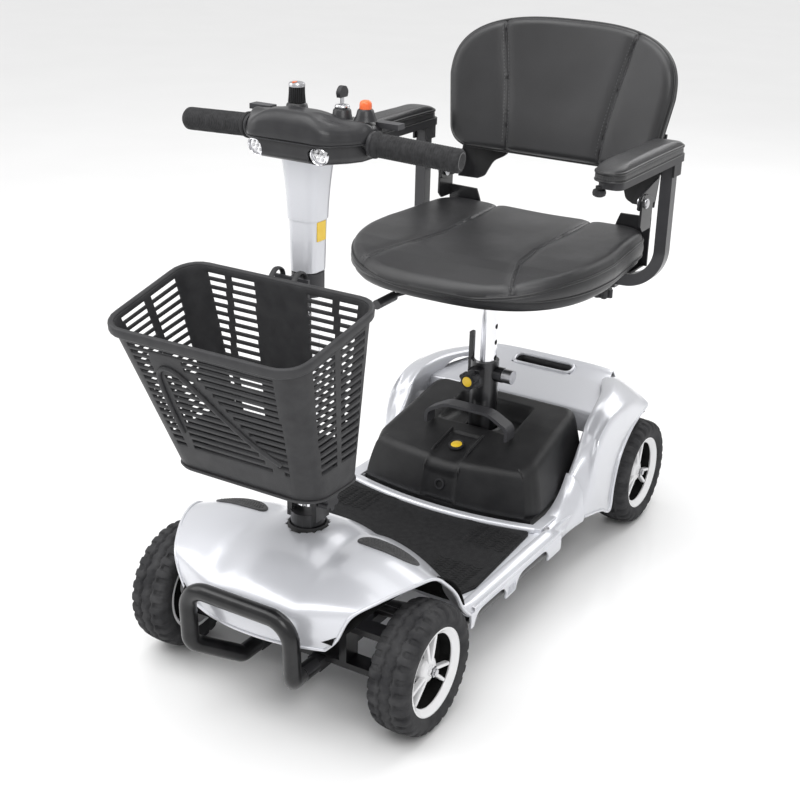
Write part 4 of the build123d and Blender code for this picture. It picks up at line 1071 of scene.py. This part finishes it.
arch = []
for x, z in ((-70, 432), (-76, 480), (-76, 520), (-64, 536), (-44, 534), (-20, 512), (14, 476), (48, 446),
        (84, 424)):
    arch.append((x, front_y(z) - 1.0, z))
arch_path = [tuple(p) for p in catmull(arch, 8)]
mesh_piece("basket_arch_rib", *sweep(arch_path, 3.4, 10), BASKET_PLASTIC, "basket")
hooks = []
for side in (-1, 1):
    path = catmull([(side * 18, -30, 622), (side * 18, -20, 630), (side * 18, -10, 629), (side * 18, -4, 622),
        (side * 18, -3.5, 606)], 6)
    hooks.append(sweep([tuple(p) for p in path], 4.2, 10, flat=0.55))
mesh_piece("basket_hooks", *joined(*hooks), BASKET_PLASTIC, "basket")


# ---- control head ----------------------------------------------------------------------------------
HEAD_LOOP = rounded([(-56, -26), (56, -26), (80, 6), (94, 30), (94, 62), (62, 96), (-62, 96), (-94, 62),
    (-94, 30), (-80, 6)], (26, 26, 26, 16, 22, 30, 30, 22, 16, 26))


def head_top(a, b):
    """Height of the head: a dome at the front and a swoosh running out to each wing."""
    dome = 13 * exp(-((a / 46) ** 4 + ((b - 4) / 38) ** 4))
    swoosh = 3.0 * exp(-((b - (-6 + 0.42 * abs(a))) / 5.5) ** 2) * min(1, max(0, (abs(a) - 24) / 20))
    wing = 5.0 * exp(-((b - 36) / 20) ** 2) * (abs(a) / 90) ** 2
    return 822 + dome + swoosh + wing - 4 * (b - 35) / 60


head_piece, _ = cushion("head_upper_dome", HEAD_LOOP, (0, 35), upright, head_top, 800, "tiller", roll=16, n=120,
    bulge=1.0, mat=HEAD_PLASTIC, welt=None, slot="black_plastic")
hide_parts("head_upper")
seam = [(x * 1.003, 35 + (y - 35) * 1.003, 800) for x, y in HEAD_LOOP]
black_piece("head_joint_line", sweep(seam, 1.1, 8, closed=True), "tiller")
for x, y, low, high, r in ((-30, 46, 824, 835, 15), (40, 46, 822, 836, 13), (74, 48, 828.5, 839, 12)):
    mesh_piece(f"boss_{'abc'[(x > 0) + (x > 60)]}", *lathe((x, y, 0), (0, 0, 1),
        [(r + 3, low - 4), (r, low + 2), (r - 1.5, high - 2), (r - 3.5, high), (3, high)], 40), HEAD_PLASTIC,
        "tiller")
mesh_piece("dial_cap", *lathe((-30, 46, 0), (0, 0, 1), [(0, 861.2), (7.5, 861.2), (9.6, 860.4), (10.6, 858.6),
    (10.6, 855.5), (9.5, 855)], 48), STEEL, "speed_dial", "black_plastic")
knurl = []
for k in range(96):
    a = 2 * pi * k / 96
    r = 11.0 if k % 4 < 2 else 10.0
    knurl += [(-30 + (r + d) * cos(a), 46 + (r + d) * sin(a), z) for d, z in ((0.6, 836), (0.3, 838),
        (-0.4, 847), (-0.6, 855), (-2, 856))]
dial_body = black_piece("dial_ribbed", (knurl, grid_faces(96, 5, close_rows=True)), "speed_dial", angle=30)
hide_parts("speed_dial")
mesh_piece("dial_marker", *bar((-31.4, 36.5, 861), (-28.6, 45, 862.4), 0.4), ORANGE, "speed_dial")
horn = mesh_piece("horn_cap", *lathe((74, 48, 0), (0, 0, 1), [(0, 849.8), (4, 849.6), (6.4, 848.4), (7.6, 846),
    (7.9, 843), (7.9, 838)], 40), ORANGE, "horn")
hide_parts("horn_button")
key_head = [tuple(p) for p in catmull([(40, 38, 850), (40, 36.5, 857), (40, 41, 863), (40, 46, 864.3),
    (40, 51, 863), (40, 55.5, 857), (40, 54, 850)], 5)]
blade = bar((39, 42.5, 836), (41, 49.5, 852), 0.4)
grip_verts = [(40 + s, y, z) for s in (-3, 3) for _, y, z in key_head]
count = len(key_head)
grip_faces = [(i, i + 1, i + 1 + count, i + count) for i in range(count - 1)] + [(count - 1, 0, count,
    2 * count - 1), tuple(range(count))[::-1], tuple(range(count, 2 * count))]
key_piece = black_piece("key_head", (grip_verts, grip_faces), "key")
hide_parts("ignition_key")
mesh_piece("key_blade", *blade, STEEL, "key")
mesh_piece("key_collar", *lathe((40, 46, 0), (0, 0, 1), [(4.4, 836.5), (9, 836.5), (9.6, 837.4), (9.6, 839),
    (8.6, 840.4), (4.6, 840.6)], 32), CHROME, "key")
axis = Vector((0, -1, -0.28)).normalized()
for side_name, side in SIDES:
    lamp = Vector((side * 48, -12, 788))
    ring = lathe(lamp, axis, [(13, -9), (13.4, 4), (13, 6.4), (11.6, 7.4), (10.8, 6.4), (10.2, 3.5), (0, 2.4)],
        48)
    piece = mesh_piece("headlight_" + side_name, *ring, CHROME, "tiller", angle=50)
    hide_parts("headlights")
    u, w = basis(axis)
    leds = []
    for k in range(7):
        a, r = 2 * pi * k / 6, (0 if k == 6 else 6.4)
        spot = lamp + axis * 2.6 + (u * cos(a) + w * sin(a)) * r
        leds.append(lathe(spot, axis, [(2.1, 0), (2.0, 1.2), (1.2, 2.4), (0, 2.8)], 12))
    mesh_piece("headlight_leds_" + side_name, *joined(*leds), WHITE, "tiller", "lamp")
    start, end = Vector((side * 96, 35.4, 799.2)), Vector((side * 214, 50.4, 791.2))
    along = (end - start).normalized()
    length = (end - start).length
    profile = [(11.2, 0), (16.6, 0.4), (17.6, 2), (17.2, 5), (15.2, 8)]
    profile += [(15.1 + 0.35 * sin(h * 1.9), h) for h in np.arange(9, length - 8, 0.8)]
    profile += [(15.4, length - 7), (15.2, length - 3.5), (13.4, length - 1), (9, length), (0, length + 0.2)]
    grip = mesh_piece("grip_foam_" + side_name, *lathe(start, along, profile, 56), GRIP, "tiller")
    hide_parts("grip_" + side_name)
    black_piece("grip_collar_" + side_name, lathe(start - along * 5, along,
        [(11.1, 0), (15.6, 0), (16.4, 1), (16.4, 4), (15.6, 5), (11.1, 5)], 48, closed=True), "tiller")


# ---- badges, knob caps and battery details ---------------------------------------------------------
mesh_piece("post_knob_cap", *lathe((0, 485.2, 312), (0, -1, 0), [(0, 1.6), (6.5, 1.5), (8.6, 0.8), (9.2, -0.6)],
    40), YELLOW, "post_knob")
black_piece("post_knob_ring", lathe((0, 485.6, 312), (0, -1, 0), [(9.0, 1.4), (10.4, 1.9), (11.8, 1.2),
    (12.2, -0.8)], 40), "post_knob")


def box_place(a, b, h):
    """A battery cover point: the box narrows as it rises and its front leans back."""
    rise = (h - 126) / 124
    return (a * (1 - 0.163 * rise), b + max(0.0, (560 - b) / 160) * 24 * rise, h)


def channel(a, b):
    """Depth of the channel down the middle of the cover's front."""
    return 4.5 * exp(-(a / 30) ** 12) if b < 484 else 0.0


def box_top(a, b):
    """The cover's sloping roof with its channel and the well round the seat post."""
    high = 199 + (b - 404) * 0.215 - 2.5 * (a / 165) ** 2 - channel(a, b)
    well = exp(-(a / 78) ** 16) * exp(-((b - 556) / 42) ** 12)
    return high - max(0.0, high - 212) * well


BOX_LOOP = [(165 * u, 398 + 580 - math.sqrt(580 ** 2 - (165 * u) ** 2)) for u in np.linspace(-0.93, 0.93, 80)]
BOX_LOOP += [p for p in rounded([(152, 420), (165, 450), (165, 634), (-165, 634), (-165, 450), (-152, 420)],
    (26, 30, 20, 20, 30, 26)) if p[1] > 424 or abs(p[0]) > 156]
box_piece, _ = cushion("battery_cover_shell", BOX_LOOP, (0, 520), box_place, box_top, 126, "battery_pack",
    roll=13, n=170, bulge=2.0, mat=BOX_PLASTIC, welt=None, slot="black_plastic", dent=channel)
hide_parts("battery_cover")
bm = bmesh.new()
bm.from_mesh(box_piece.data)
post = at(0, POST_Y, 0)
hole = [f for f in bm.faces if hypot(f.calc_center_median().x, f.calc_center_median().y - post.y) < 0.029]
bmesh.ops.delete(bm, geom=hole, context="FACES")
bm.to_mesh(box_piece.data)
bm.free()
mesh_piece("post_hole_rim", *lathe((0, POST_Y, 211), (0, 0, 1), [(27, -2), (27, 1.5), (28.5, 2.6), (32, 2.2),
    (34, 0.6), (34, -2)], 56, closed=True), BOX_PLASTIC, "battery_pack")
for side_name, side in SIDES:
    ridge = [box_place(side * 34, 488 - 8 * k, box_top(side * 34, 488 - 8 * k) + 0.4) for k in range(9)]
    ridge += [box_place(side * 34, 400, h) for h in (188, 176, 160, 144, 130)]
    mesh_piece("cover_ridge_" + side_name, *sweep([tuple(p) for p in catmull(ridge, 4)], 2.4, 10), BOX_PLASTIC,
        "battery_pack")
slope = Vector((0, -47, 208)).normalized()
mesh_piece("battery_badge", *lathe(Vector((0, 458, 208.2)), slope, [(0, 1.6), (8.4, 1.5), (9.6, 0.8), (10, -1)],
    40), YELLOW, "battery_pack")
black_piece("battery_badge_ring", lathe(Vector((0, 458, 208.0)), slope, [(9.6, 1.3), (11, 2.1), (13, 1.6),
    (14, -1)], 40), "battery_pack")
black_piece("charge_port", lathe((0, 405.5, 156), (0, -1, 0.16), [(9.2, -4), (9.2, 1.2), (8.4, 2.2), (6.6, 2.2),
    (6.2, 1), (6.2, -1), (0, -1)], 40), "battery_pack")

mesh_piece("tiller_label", *bar((20.9, 18, 664), (22.3, 37, 690), 0.3), YELLOW, "tiller", "silver_plastic")
